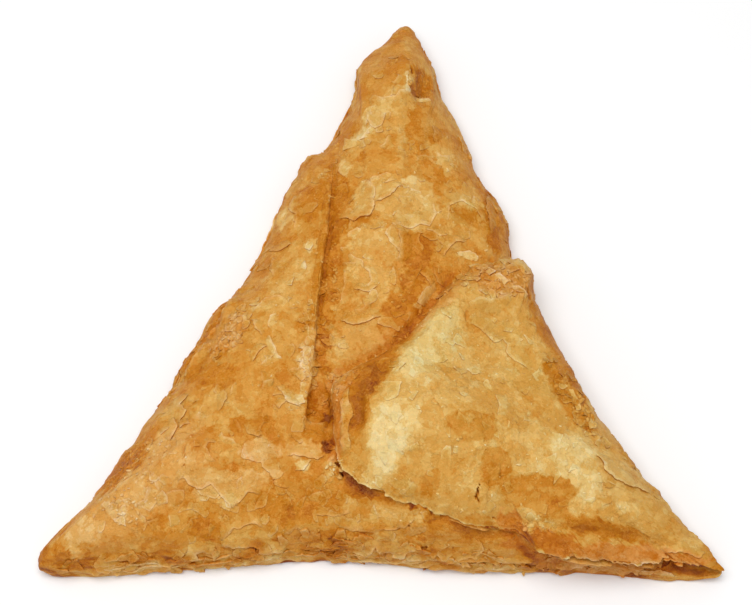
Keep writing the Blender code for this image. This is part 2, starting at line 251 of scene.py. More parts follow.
# Creases: points, depth (below 0 for a ridge) and half width
CREASES = (
    (((-35, -36.2), (-34.9, -38.8)), 0.7, 0.25), (((-19.3, -14.3), (-20.3, -18)), 0.3, 0.3),
    (((-25, 1.6), (-28.2, -3.4), (-30.4, -8.2), (-34.4, -15.4), (-37.6, -21.2)), 0.9, 0.35),
    (((21.3, 4.3), (21.2, -0.7)), 0.4, 0.35), (((16.2, -10.7), (16.2, -12.7)), 0.35, 0.3),
    (((21.4, -41.3), (21.6, -43.7)), 0.3, 0.3), (((19.3, -43.3), (19.3, -49)), 0.35, 0.3),
    (((-6.3, -27.5), (-6, -30), (-5.7, -33.5), (-6.2, -38.4)), -1, 0.5),
    (((-7.6, -25), (-7.2, -30), (-7, -34), (-6.6, -38.6)), -0.9, 1.4),
    (((-4.2, -24), (-4, -30), (-4.2, -36)), 0.9, 1.3),
    (((21, -49.3), (26, -50.4), (33, -50.9), (42, -51.5), (50, -51.9), (57, -53.4)), 0.6, 0.9),
    (((4, 37), (4, 20)), -0.35, 0.9),
    (((15.3, 0.9), (11, -4), (7.6, -9.6), (2.4, -16), (-3.8, -19), (-9.4, -23.2)), 0.6, 1.1),
    (((-9.5, -24), (-9.6, -31), (-9, -38)), 1, 0.8),
    (((3.6, -18.6), (-0.4, -24), (-2.4, -29.5)), 0.9, 2.2),
    (((9, -12.8), (3.6, -18.6)), 0.5, 1.6),
    (((-15.6, -52.9), (-10, -52.5), (-4.6, -52.3)), 0.7, 0.9),
    (((-24.4, -52.6), (-22.6, -52.2), (-21, -52.6)), 0.6, 0.7),
    (((6.4, -52.8), (9.2, -52.5)), 0.5, 0.6),
    (((-12, -23), (-11, -8), (-10.2, 0), (-9.4, 8), (-8.8, 19), (-8.5, 25)), 0.6, 0.45),
)
# Open cracks: points, depth and half width
CRACKS = (
    (((17.6, -44.7), (17.4, -46)), 0.4, 0.05), (((17.4, -45.6), (17.1, -47)), 0.6, 0.13),
    (((17.2, -46.7), (16.6, -47)), 0.5, 0.08), (((17.2, -46.8), (17.8, -47.5)), 0.5, 0.08),
    (((-0.8, -50.2), (0.4, -50), (2.1, -50.1), (3.8, -49.8), (5.6, -49.8)), 0.7, 0.1),
    (((20, -49.9), (20.3, -49.8)), 0.6, 0.13), (((28, -4.4), (28.2, -5.5)), 0.8, 0.2),
    (((-7.9, -39.6), (-7.5, -39.8)), 0.8, 0.22), (((-7.1, -41.1), (-6.8, -41.3)), 0.8, 0.2),
    (((7, 38.3), (7.5, 38.5)), 0.6, 0.25), (((5.9, 44.1), (6.3, 43.9)), 0.5, 0.22),
    (((-34.9, -40.3), (-34.7, -40.6)), 0.5, 0.2),
)
# A crease fades in between these shares of its length, and out in the same way. A crack's
# sides are between these multiples of its half width.
CREASE_ENDS = (-0.02, 0.2)
CRACK_SIDES = (0.6, 1.3)
# The most that creases and cracks add to the browning, as painted shade in their hollows
CREASE_SHADE = 0.6
CRACK_SHADE = 3.0


def smooth_step(value, low, high):
    """0 below low, 1 above high, with a smooth rise between them."""
    share = np.clip((value - low) / (high - low), 0.0, 1.0)
    return share * share * (3.0 - 2.0 * share)


def row_value(value, rows):
    """The second number of a table's rows, blended at value among their first numbers."""
    return np.interp(value, *zip(*rows))


# Each seed shifts the noise by so many cells, and the gain brings it to about -1 to 1
NOISE_SHIFT = 17.31
NOISE_GAIN = 1.6
# The edges of irregular flakes: how far they bend and the bends' size, as shares of a flake's
FLAKE_BEND = 0.28
FLAKE_BEND_SIZE = 0.6
# Smooth noise reads its random slopes from one table with a fixed seed
DRAW = np.random.default_rng(11)
SHUFFLE = DRAW.permutation(256)
SLOPES = DRAW.normal(size=(256, 3))
SLOPES /= np.linalg.norm(SLOPES, axis=1)[:, None]
SHARES = DRAW.random(size=(256, 3))


def cell_numbers(cells, seed):
    """A number from 0 to 255 for each whole-numbered cell, in no visible order."""
    index = SHUFFLE[(cells[:, 0] + seed) & 255]
    index = SHUFFLE[(index + cells[:, 1]) & 255]
    return SHUFFLE[(index + cells[:, 2]) & 255]


def noise(points, size, seed=0):
    """Smooth noise from about -1 to 1 at 3-D points, with features about size across."""
    spot = points / size + seed * NOISE_SHIFT
    cell = np.floor(spot).astype(int)
    local = spot - cell
    fade = local ** 3 * (local * (local * 6.0 - 15.0) + 10.0)
    total = np.zeros(len(points))
    for corner in itertools.product((0, 1), repeat=3):
        index = cell_numbers(cell + corner, seed)
        slope = np.sum((local - corner) * SLOPES[index], axis=1)
        total += slope * np.prod(np.where(corner, fade, 1.0 - fade), axis=1)
    return total * NOISE_GAIN


def noise_sum(points, terms, seed=0):
    """Noise summed over terms, each of them its strength, its size and its own seed."""
    return sum(strength * noise(points, size, seed + own) for strength, size, own in terms)


def flat_noise(x, y, terms, seed=0):
    """The same at x, y of a plane."""
    return noise_sum(np.column_stack([x, y, 0.0 * x]), terms, seed)


def rim_noise(place, terms, seed=0):
    """The same at places round a rim."""
    return flat_noise(place * RIM_SCALE, 0.0 * place, terms, seed)


def flakes_at(points, size, seed):
    """The irregular flake that each point lies in: its middle and its number."""
    bend_size = size * FLAKE_BEND_SIZE
    bend = np.column_stack([noise(points, bend_size, seed + n) for n in range(3)])
    spot = points / size + FLAKE_BEND * bend
    base = np.floor(spot).astype(int)
    nearest = np.full(len(points), np.inf)
    middle = np.zeros_like(points)
    number = np.zeros(len(points), int)
    for shift in itertools.product((-1, 0, 1), repeat=3):
        index = cell_numbers(base + shift, seed)
        centre = base + shift + SHARES[index]
        distance = np.sum((spot - centre) ** 2, axis=1)
        closer = distance < nearest
        nearest = np.where(closer, distance, nearest)
        middle = np.where(closer[:, None], centre, middle)
        number = np.where(closer, index, number)
    return (middle - spot) * size + points, number


def turned(along, across, angle):
    """The x and y of what lies along and across a way that is turned by angle."""
    return np.stack([along * math.cos(angle) - across * math.sin(angle),
                     along * math.sin(angle) + across * math.cos(angle)], axis=-1)


def oval_shares(x, y, middle_x, middle_y, half_length, half_width, turn):
    """x, y as shares of an oval's half length and half width from its middle."""
    way = math.radians(turn)
    along = (x - middle_x) * math.cos(way) + (y - middle_y) * math.sin(way)
    across = (y - middle_y) * math.cos(way) - (x - middle_x) * math.sin(way)
    return along / half_length, across / half_width


def puff_sum(x, y, puffs):
    """The summed height of oval puffs and hollows at x, y."""
    total = np.zeros_like(x)
    for middle_x, middle_y, height, half_length, half_width, turn in puffs:
        along, across = oval_shares(x, y, middle_x, middle_y, half_length, half_width, turn)
        total += height * np.exp(-(along ** 2 + across ** 2))
    return total


def smooth_loop(points, steps):
    """A closed curve through points, with steps pieces between each two of them."""
    points = np.array(points, float)
    before, after, beyond = (np.roll(points, shift, axis=0) for shift in (1, -1, -2))
    rows = []
    for step in range(steps):
        t = step / steps
        rows.append(0.5 * (2.0 * points + (after - before) * t
                           + (2.0 * before - 5.0 * points + 4.0 * after - beyond) * t ** 2
                           + (3.0 * points - before - 3.0 * after + beyond) * t ** 3))
    return np.stack(rows, axis=1).reshape(-1, 2)


def lengths_along(line):
    """The length of a line of points up to each of them."""
    return np.concatenate([[0.0], np.cumsum(np.linalg.norm(np.diff(line, axis=0), axis=1))])


def points_along(line, reached):
    """The points of a line at the lengths reached along it."""
    lengths = lengths_along(line)
    return np.column_stack([np.interp(reached, lengths, line[:, axis]) for axis in (0, 1)])


def outline(sides, place):
    """Points of a closed outline at place, where 0, 1 and 2 are the starts of its sides."""
    curve = smooth_loop([point for side in sides for point in side], CURVE_STEPS)
    curve = np.vstack([curve, curve[:1]])
    starts = np.cumsum([0] + [len(side) * CURVE_STEPS for side in sides])
    result = np.zeros((len(place), 2))
    for number in range(len(sides)):
        side = curve[starts[number]:starts[number + 1] + 1]
        inside = (place >= number) & (place < number + 1)
        result[inside] = points_along(side, (place[inside] - number) * lengths_along(side)[-1])
    return result


def along_rim(values, place, blend):
    """One value for each side at place, blended over a share of the sides at each tip."""
    stops = []
    for number, value in enumerate(values):
        stops += [(number + blend, value), (number + 1.0 - blend, value)]
    stops = [(stops[-1][0] - 3.0, stops[-1][1])] + stops + [(3.0 + blend, values[0])]
    return row_value(place, stops)


def triangle_grid(pieces):
    """A triangular grid: each point's place round its ring and its ring, and the faces."""
    number = {}
    place = []
    ring = []
    for i in range(pieces + 1):
        for j in range(pieces + 1 - i):
            k = pieces - i - j
            depth = min(i, j, k)
            segments = pieces - 3 * depth
            if segments == 0:
                spot = 0.0
            elif k == depth and i > depth:
                spot = (j - depth) / segments
            elif i == depth and j > depth:
                spot = 1.0 + (k - depth) / segments
            else:
                spot = 2.0 + (i - depth) / segments
            number[i, j] = len(place)
            place.append(spot)
            ring.append(depth)
    faces = []
    for i in range(pieces):
        for j in range(pieces - i):
            faces.append((number[i, j], number[i, j + 1], number[i + 1, j]))
            if i + j < pieces - 1:
                faces.append((number[i + 1, j], number[i, j + 1], number[i + 1, j + 1]))
    return np.array(place), np.array(ring), np.array(faces)


def outer_loop(place, ring):
    """The grid's outermost points, in order round the rim."""
    loop = np.flatnonzero(ring == 0)
    return loop[np.argsort(place[loop])]


def inward(edge, centre, reach, inset):
    """Points of an outline moved towards centre by inset, which is reach at the centre."""
    return np.array(centre) + (edge - np.array(centre)) * (1.0 - inset / reach)[:, None]


def band(first, second):
    """Pairs of triangles between two closed rows of points."""
    after = np.roll(first, -1)
    below = np.roll(second, -1)
    return np.vstack([np.column_stack([first, after, second]),
                      np.column_stack([second, after, below])])


def fan_band(fine, coarse):
    """Triangles between a closed row of points and one with COARSE times fewer."""
    faces = []
    for number, here in enumerate(coarse):
        after = coarse[(number + 1) % len(coarse)]
        row = [fine[(number * COARSE + step) % len(fine)] for step in range(COARSE + 1)]
        half = COARSE // 2
        faces += [(row[step], row[step + 1], here) for step in range(half)]
        faces.append((row[half], after, here))
        faces += [(row[step], row[step + 1], after) for step in range(half, COARSE)]
    return np.array(faces)


def layer(sides, centre, reach, waist, shoulder, under_rows, height, pieces, rim_rows, torn_edge):
    """A closed puffed layer: its upper side, its rounded rim and its flat underside.

    At a place round the rim, waist gives its widest level, shoulder how far inside the
    rounding ends, and torn_edge how far the torn edge lies inside the outline and how thin it
    is, from 0 for a round rim. height gives the upper side at x, y and an inset. Each of
    under_rows gives the inset and height of one row below the widest level, and the last is
    the underside's. Also returns a flat layout: the upper side as seen from above with the rim
    spread round it, and the underside beside it. The last list is 0 on the upper side, 1 at
    the torn edge and 2 below it.
    """
    place, ring, faces = triangle_grid(pieces)
    edge = outline(sides, place)
    inset = shoulder(place) + (reach - shoulder(place)) * (ring / (pieces // 3))
    top = inward(edge, centre, reach, inset)
    vertices = [np.column_stack([top, height(top[:, 0], top[:, 1], inset)])]
    layout = [top]
    nearness = [0.0 * place]
    faces = [faces]

    above = loop = outer_loop(place, ring)
    rim, rim_edge = place[loop], edge[loop]
    torn, thin = torn_edge(rim)
    total = len(place)
    rows = [(math.pi / 2.0 * row / rim_rows, None) for row in reversed(range(rim_rows))]
    rows += [(None, under) for under in under_rows[:-1]]
    for number, (turn, under) in enumerate(rows, 1):
        if under is None:
            inset = shoulder(rim) * (1.0 - math.cos(turn)) + torn * math.cos(turn) ** 3
            spot = inward(rim_edge, centre, reach, inset)
            level = height(spot[:, 0], spot[:, 1], inset)
            level = waist(rim) + (level - waist(rim)) * math.sin(turn) ** (1.0 + thin)
            nearness.append((1.0 - 2.0 * turn / math.pi) * (thin > 0.0))
        else:
            nearness.append(2.0 * (thin > 0.0))
            inset, level = under(rim)
            spot = inward(rim_edge, centre, reach, inset + torn)
        vertices.append(np.column_stack([spot, level]))
        spread = shoulder(rim) - number * shoulder(rim) / rim_rows
        layout.append(inward(rim_edge, centre, reach, spread))
        below = total + np.arange(len(loop))
        faces.append(band(above, below))
        above = below
        total += len(loop)

    place, ring, under_faces = triangle_grid(pieces // COARSE)
    floor_inset, floor = under_rows[-1](place)
    inset = floor_inset + (reach - floor_inset) * (ring / (pieces // COARSE // 3))
    bottom = inward(outline(sides, place), centre, reach, inset)
    vertices.append(np.column_stack([bottom, floor]))
    layout.append(bottom * UNDERSIDE_SCALE + UNDERSIDE_SHIFT)
    nearness.append(0.0 * place)
    faces += [under_faces[:, ::-1] + total, fan_band(above, outer_loop(place, ring) + total)]
    return np.vstack(vertices), np.vstack(faces), np.vstack(layout), np.concatenate(nearness)


def tip_share(x, y, reach):
    """0 at the right tip and 1 from reach away."""
    return np.clip(np.hypot(x - RIGHT_TIP[0], y - RIGHT_TIP[1]) / reach, 0.0, 1.0)


def parcel_height(x, y, inset):
    """The upper side of the folded parcel under the flap."""
    share = np.clip(inset / DOME_REACH, 0.0, 1.0)
    height = RIM_HEIGHT + DOME_RISE * (1.0 - (1.0 - share) ** 2)
    edge_x = row_value(y, PANEL_EDGE) + flat_noise(x, y, PANEL_EDGE_WANDER)
    left = 1.0 - smooth_step(x, edge_x - PANEL_EDGE_WIDTH / 2.0, edge_x + PANEL_EDGE_WIDTH / 2.0)
    below_pocket = smooth_step(-y, *BELOW_POCKET)
    step = row_value(y, PANEL_STEPS) * smooth_step(inset, *PANEL_STEP_INSET)
    height += step * np.maximum(left, below_pocket)
    height += puff_sum(x, y, PARCEL_PUFFS)
    return MOUTH_HEIGHT + (height - MOUTH_HEIGHT) * smooth_step(tip_share(x, y, MOUTH_REACH), 0, 1)


def flap_height(x, y, inset):
    """The upper side of the flap."""
    share = tip_share(x, y, FLAP_RISE_REACH)
    return FLAP_LOW + FLAP_RISE * share * (2.0 - share) + puff_sum(x, y, FLAP_PUFFS)


def parcel_layer():
    """The parcel before its surface gets any relief."""
    def waist(place):
        return along_rim(PARCEL_WAIST, place, PARCEL_BLEND)

    def shoulder(place):
        return along_rim(PARCEL_SHOULDER, place, PARCEL_BLEND)

    def foot_row(row):
        turn = math.pi / 2.0 * row / FOOT_ROWS
        return lambda place: (along_rim(PARCEL_FOOT, place, PARCEL_BLEND) * (1.0 - math.cos(turn)),
                              waist(place) * (1.0 - math.sin(turn)))

    def ragged_edge(place):
        return rim_noise(place, RAGGED_OUTLINE), 0.0 * place

    rows = [foot_row(row) for row in range(1, FOOT_ROWS + 1)]
    return layer(PARCEL_SIDES, PARCEL_CENTRE, PARCEL_REACH, waist, shoulder, rows,
                 parcel_height, PARCEL_PIECES, PARCEL_RIM_ROWS, ragged_edge)


def flap_edge_level(place):
    """The height of the flap's edge at a place round it."""
    return row_value(place, FLAP_EDGE_HEIGHTS)


def flap_layer():
    """The flap before its surface gets any relief, with its lower edge torn."""
    def shoulder(place):
        return along_rim(FLAP_SHOULDER, place, FLAP_BLEND)

    def sheet_edge(place):
        return SHEET_EDGE_INSET + 0.0 * place, flap_edge_level(place) - SHEET

    def foot(place):
        level = np.minimum(along_rim(FLAP_FOOT_HEIGHT, place, FLAP_BLEND),
                           flap_edge_level(place) - SHEET)
        return along_rim(FLAP_FOOT, place, FLAP_BLEND), level

    def floor(place):
        return along_rim(FLAP_FOOT, place, FLAP_BLEND) + FLAP_PLUNGE, 0.0 * place + FLAP_FLOOR

    def torn_edge(place):
        free = smooth_step(place, *TORN_FROM) * (1.0 - smooth_step(place, *TORN_TO))
        uneven = rim_noise(place, RAGGED_OUTLINE)
        tears = rim_noise(place, FLAP_TEARS) + np.abs(rim_noise(place, FLAP_NICKS))
        return uneven + free * (tears - uneven), TORN_THINNESS * free

    return layer(FLAP_SIDES, FLAP_CENTRE, FLAP_REACH, flap_edge_level, shoulder,
                 [sheet_edge, foot, floor], flap_height, FLAP_PIECES, FLAP_RIM_ROWS, torn_edge)


def vertex_normals(vertices, faces):
    """Unit normals at the vertices of a triangle mesh."""
    a, b, c = (vertices[faces[:, corner]] for corner in range(3))
    across = np.cross(b - a, c - a)
    normals = np.zeros_like(vertices)
    for corner in range(3):
        for axis in range(3):
            normals[:, axis] += np.bincount(faces[:, corner], across[:, axis], len(vertices))
    return normals / np.maximum(np.linalg.norm(normals, axis=1), 1e-9)[:, None]


def line_places(x, y, line):
    """For each x, y: its distance to a line of points, and the share along it."""
    line = np.array(line, float)
    steps = np.diff(line, axis=0)
    reached = lengths_along(line)
    best = np.full(len(x), np.inf)
    along = np.zeros(len(x))
    for start, step, length, before in zip(line, steps, np.linalg.norm(steps, axis=1), reached):
        way = step / length
        forward = np.clip((x - start[0]) * way[0] + (y - start[1]) * way[1], 0.0, length)
        distance = np.hypot(x - start[0] - forward * way[0], y - start[1] - forward * way[1])
        closer = distance < best
        best = np.where(closer, distance, best)
        along = np.where(closer, (before + forward) / reached[-1], along)
    return best, along


def named_relief(points, x, y):
    """Heights of the creases and cracks, and how much painted shade darkens them."""
    x = x + noise_sum(points, LINE_WOBBLE)
    y = y + noise_sum(points, LINE_WOBBLE, 1)
    height = np.zeros(len(x))
    line_shade = np.zeros(len(x))
    start, full = CREASE_ENDS
    for line, deep, half_width in CREASES:
        distance, along = line_places(x, y, line)
        ends = smooth_step(along, start, full)
        ends *= 1.0 - smooth_step(along, 1.0 - full, 1.0 - start)
        profile = np.exp(-((distance / half_width) ** 2)) * ends
        height -= deep * profile
        line_shade = np.maximum(line_shade, profile * np.clip(deep, 0.0, CREASE_SHADE))
    inner, outer = CRACK_SIDES
    for line, deep, half_width in CRACKS:
        distance, _ = line_places(x, y, line)
        inside = 1.0 - smooth_step(distance, half_width * inner, half_width * outer)
        height -= deep * inside
        line_shade = np.maximum(line_shade, inside * CRACK_SHADE)
    return height, line_shade


def new_mesh(name, vertices, faces, material, attributes, layout=None):
    """A smooth-shaded object from millimetre vertices, with point attributes and a flat layout."""
    mesh = bpy.data.meshes.new(name)
    mesh.vertices.add(len(vertices))
    mesh.vertices.foreach_set("co", (vertices * MM).astype(np.float32).ravel())
    mesh.loops.add(len(faces) * 3)
    mesh.loops.foreach_set("vertex_index", faces.astype(np.int32).ravel())
    mesh.polygons.add(len(faces))
    mesh.polygons.foreach_set("loop_start", np.arange(0, len(faces) * 3, 3, dtype=np.int32))
    mesh.update(calc_edges=True)
    mesh.validate()
    for label, values in attributes.items():
        attribute = mesh.attributes.new(label, "FLOAT", "POINT")
        attribute.data.foreach_set("value", values.astype(np.float32))
    if layout is not None:
        low = layout.min(axis=0)
        scale = (layout.max(axis=0) - low).max() * (1.0 + 2.0 * LAYOUT_MARGIN)
        spots = ((layout - low) / scale + LAYOUT_MARGIN)[faces.ravel()]
        uv_map = mesh.uv_layers.new(name="OFBake")
        uv_map.data.foreach_set("uv", spots.astype(np.float32).ravel())
    mesh.materials.append(material)
    mesh.shade_smooth()
    mesh.set_sharp_from_angle(angle=math.radians(SHARP_ANGLE))
    obj = bpy.data.objects.new(name, mesh)
    bpy.context.scene.collection.objects.link(obj)
    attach(obj, "root")
    return obj


# --------------------------------------------------------------------------- browning

# The bake, from 0, pale, to 1, dark brown, and its colours as display red, green and blue
BAKE_COLOURS = (
    (0, (238, 211, 152)), (0.15, (229, 191, 121)), (0.3, (219, 170, 95)), (0.45, (211, 153, 76)),
    (0.6, (203, 134, 57)), (0.75, (189, 117, 42)), (0.9, (170, 102, 31)), (1.05, (147, 84, 20)),
    (1.4, (95, 44, 3)),
)
BAKE_SPAN = 1.4
PARCEL_BAKE = 0.53
PARCEL_TINT = 0.05
FLAP_BAKE = 0.38
FLAP_TINT = -0.35
# Painted shadow in the gap under the flap's free edge: the parcel is browner there, between these
# places round it
SHADOW_GAP_PLACES = (1.06, 2.06)
GAP_PAINTED_SHADOW = 0.3
GAP_SHADOW_WIDTH = 0.8

# Patches of bake: x, y, half length, half width, turn in degrees, bake, softness of its edge
PARCEL_PATCHES = (
    # towards the apex
    (3.5, 51, 8, 7, 80, 0.6, 1.8), (0.5, 49.5, 5, 2.6, 80, 0.57, 1.8),
    (7, 50, 4, 2.2, -80, 0.44, 1.5), (-2.5, 41.2, 2.6, 1.7, 70, 0.59, 0.8),
    (-6, 32.5, 3, 2, 60, 0.6, 1), (3, 33.5, 4.5, 3.6, 90, 0.37, 1),
    (-1, 34, 4, 1.9, 80, 0.27, 0.4), (6.6, 30.5, 4.2, 1.8, 85, 0.61, 1),
    (13, 31.5, 3.8, 1.6, -65, 0.61, 1.2), (12, 25, 3.4, 2.6, -60, 0.34, 0.8),
    (4, 28.5, 8.5, 1, 90, 0.36, 0.6), (1.2, 23.2, 2.4, 2.2, 20, 0.59, 0.8),
    (10.7, 19.5, 5.6, 1.8, -75, 0.62, 0.8), (-9.6, 19.4, 4, 2.4, 80, 0.67, 0.8),
    (19.6, 5, 3, 2, -70, 0.62, 1), (-3.7, 24, 1.8, 1.2, 0, 0.67, 0.6),
    (-10, 24.5, 2.8, 1.9, 30, 0.68, 0.8), (-6.8, 22, 2.1, 1.2, 80, 0.31, 0.3),
    (-5.3, 28.2, 2, 1.2, 40, 0.27, 0.3), (-1.8, 29.6, 2, 1.3, 20, 0.3, 0.4),
    # (8.2, 41.3) and (7.3, 38.8): browner, partly as painted shade in the broken spot's hollow
    (8.2, 41.3, 4.6, 2.5, 78, 0.74, 0.4), (7.3, 38.8, 1.5, 1, 0, 0.86, 0.5),
    (5.4, 40.2, 3.2, 0.6, 85, 0.27, 0.4), (9, 37.5, 1.8, 0.6, 10, 0.26, 0.4),
    (-9, 37.5, 11, 1.4, 62, 0.4, 1.2), (15.6, 35.4, 12, 1.4, -64, 0.42, 1.2),
    # middle panel
    (-3, 14.2, 4.6, 2.4, 90, 0.37, 0.5), (-1.5, 0.6, 8.2, 4.8, 90, 0.4, 0.6),
    (4.7, 13.3, 6.2, 5.8, 0, 0.36, 1), (5.4, 18.3, 1.5, 0.9, 0, 0.22, 0.5),
    # (-7.2, 15.6) and (-4, 9.2): painted shade in the valley and under the torn sheet's edge
    (-7.2, 15.6, 3.8, 1.7, 90, 0.71, 0.8), (-4, 9.2, 3.6, 0.8, -5, 0.71, 0.8),
    # (-8.3, 3) and (-9, -3.5): painted shade in the valley beside the panel's step
    (-8.3, 3, 5, 1, 92, 0.65, 0.6), (-9, -3.5, 4, 1.4, 95, 0.61, 0.8),
    (7.2, 3.6, 4.4, 2.8, 75, 0.74, 0.6), (6.4, -3, 3.8, 2.4, 75, 0.74, 0.6),
    (3.2, -9.6, 5.4, 3, 65, 0.68, 0.8), (-5.4, -15.4, 4.8, 3.4, 0, 0.4, 0.8),
    # (10, -6.4), (4.2, -13.6) and (0, -17.4): painted shadow of the rolled fold along its foot
    (3.4, 3.5, 2.9, 0.7, 90, 0.38, 0.4), (10, -6.4, 5.5, 0.9, 52, 0.76, 1.2),
    (4.2, -13.6, 3.2, 1, 50, 0.76, 1.4), (0, -17.4, 4.6, 0.9, 26, 0.62, 1.2),
    (8.8, -5.5, 2.8, 1.4, 55, 0.44, 0.5), (18, 12, 8, 2.4, -75, 0.4, 1.5),
    # (-9.3, 3) and (-10.2, -12): painted shade in the narrow valley beside the panel's edge
    (21.6, 11, 6.2, 1.5, -80, 0.61, 1), (-9.3, 3, 17, 1, 86.5, 0.74, 0.4),
    (-10.2, -12, 13, 1.4, 87, 0.76, 0.4), (16, 12.2, 2.6, 2.4, 30, 0.6, 0.6),
    (21.8, 13, 6.5, 1.6, -85, 0.72, 0.8),
    # left panel
    (-33.3, -11, 9.5, 1.5, 60, 0.7, 0.5), (-31.8, -20.8, 5.4, 2.2, -38, 0.68, 0.5),
    (-13.6, 14.3, 4.4, 3.2, 85, 0.66, 0.8), (-19.1, 13.2, 2.4, 1.9, 80, 0.28, 0.4),
    (-19, 7.9, 2.8, 1.9, 10, 0.66, 0.6), (-22.3, 3.2, 2.2, 1.6, 70, 0.65, 0.5),
    (-22.2, -3.7, 2, 1.2, 80, 0.6, 0.6), (-13.4, 5.2, 1.4, 0.9, 80, 0.27, 0.3),
    (-17, -3, 6, 4.5, 80, 0.4, 2), (-28.5, -13, 5.5, 3, 60, 0.51, 1),
    (-30.2, -17.3, 2.8, 1.8, 30, 0.68, 0.8), (-31.5, -22.5, 4.6, 2, 20, 0.64, 1),
    (-20.7, -7.5, 3, 1.7, 20, 0.33, 0.5), (-14.9, -11.5, 1.3, 1.2, 0, 0.61, 0.5),
    (-12.9, -18.5, 7.2, 1.5, 85, 0.31, 0.5), (-15, -27.2, 1.9, 1.5, 30, 0.31, 0.5),
    # pocket and the hollow under the lip; the dark strips beside the lip, (-9.7, -28.2) and
    # (-9.2, -33.6), are painted shade
    (-11.1, -27, 4.4, 2.2, 80, 0.71, 0.4), (-9.7, -28.2, 2.6, 0.7, 85, 0.76, 0.6),
    (-9.2, -33.6, 5, 1.3, 88, 1.1, 0.8),
    # lower left
    (-8, -42, 11, 5, 0, 0.64, 2.5), (-11, -33.5, 4, 2.6, 0, 0.68, 1.5),
    (-29.5, -28.5, 5, 4, 0, 0.42, 2), (-44, -42.5, 15, 7, 34, 0.4, 6),
    (-47, -37.6, 6, 2.8, 48, 0.74, 1.2), (-42.3, -31.2, 3.4, 2, 50, 0.61, 0.8),
    (-27.3, -42.2, 7.2, 2.2, 0, 0.35, 0.4), (-27.2, -45.2, 1.7, 1.4, 0, 0.31, 0.4),
    (-27.6, -39.7, 3.5, 0.8, 0, 0.6, 0.5), (-26, -33.2, 3, 1.6, 75, 0.67, 0.3),
    (-20.4, -32, 2.9, 2.2, -40, 0.68, 0.3), (-28, -24.5, 1.4, 0.9, 0, 0.68, 0.4),
    (-21, -37.2, 3.6, 2, 10, 0.34, 0.3), (-14.2, -36.8, 3.9, 1.5, 0, 0.37, 0.4),
    (-13.7, -39.4, 1.6, 0.9, 20, 0.27, 0.3), (-14.6, -46, 9, 3.2, 0, 0.66, 1),
    (-5.5, -46, 2, 0.8, 0, 0.37, 0.5), (-59.6, -54.6, 5, 2.2, 0, 0.76, 1.5),
    (-54, -50.4, 3.6, 2.6, 60, 0.27, 0.8), (-50.6, -53.6, 3.4, 1.4, 0, 0.58, 0.8),
    (-40, -49.3, 3, 2, 0, 0.59, 1), (-31.6, -49.2, 3.4, 2.5, 10, 0.64, 0.8),
    (-39, -53.2, 3.2, 1.2, 0, 0.6, 0.6), (-46, -52.6, 5, 2.2, 0, 0.5, 1.2),
    (-31.5, -35.4, 4, 2.2, 20, 0.58, 1.2), (-8, -40.6, 2.2, 1.6, 0, 0.27, 0.5),
    # front
    (54, -56.1, 8, 0.8, 0, 0.46, 0.6), (55.6, -54.8, 5.6, 0.9, -6, 0.74, 0.4),
    # (-4.2, -43.4) and (7, -47): painted shadow under the lip and the flap's free edge
    (-4.2, -43.4, 5, 1.8, -26, 0.78, 1.6), (7, -47, 5.4, 1.7, -16, 0.86, 1.6),
    (3.3, -47.5, 4.2, 2, 0, 0.33, 0.5), (12.8, -50.7, 5.2, 1.9, 0, 0.6, 0.8),
    # (-10.2, -52.6), (-22.4, -52.4) and (7.8, -52.6): painted shade in the front's grooves
    (-10.2, -52.6, 5.8, 1.4, 2, 0.92, 0.8), (-31, -54.4, 6, 0.8, 0, 0.74, 0.5),
    (-33, -54.9, 26, 0.8, 3.6, 0.36, 0.8), (2, -53.9, 10, 0.8, -5, 0.36, 0.8),
    (25, -55.2, 14, 0.8, -2, 0.38, 0.8), (-22.4, -52.4, 1.8, 1.2, 0, 0.82, 0.5),
    (7.8, -52.6, 1.6, 0.8, -10, 0.82, 0.5), (41.2, -54.2, 5, 1.4, 0, 0.48, 0.8),
    (30, -54, 5, 1.2, 0, 0.56, 0.8), (-15, -51.6, 5, 1.4, 0, 0.61, 0.6),
)
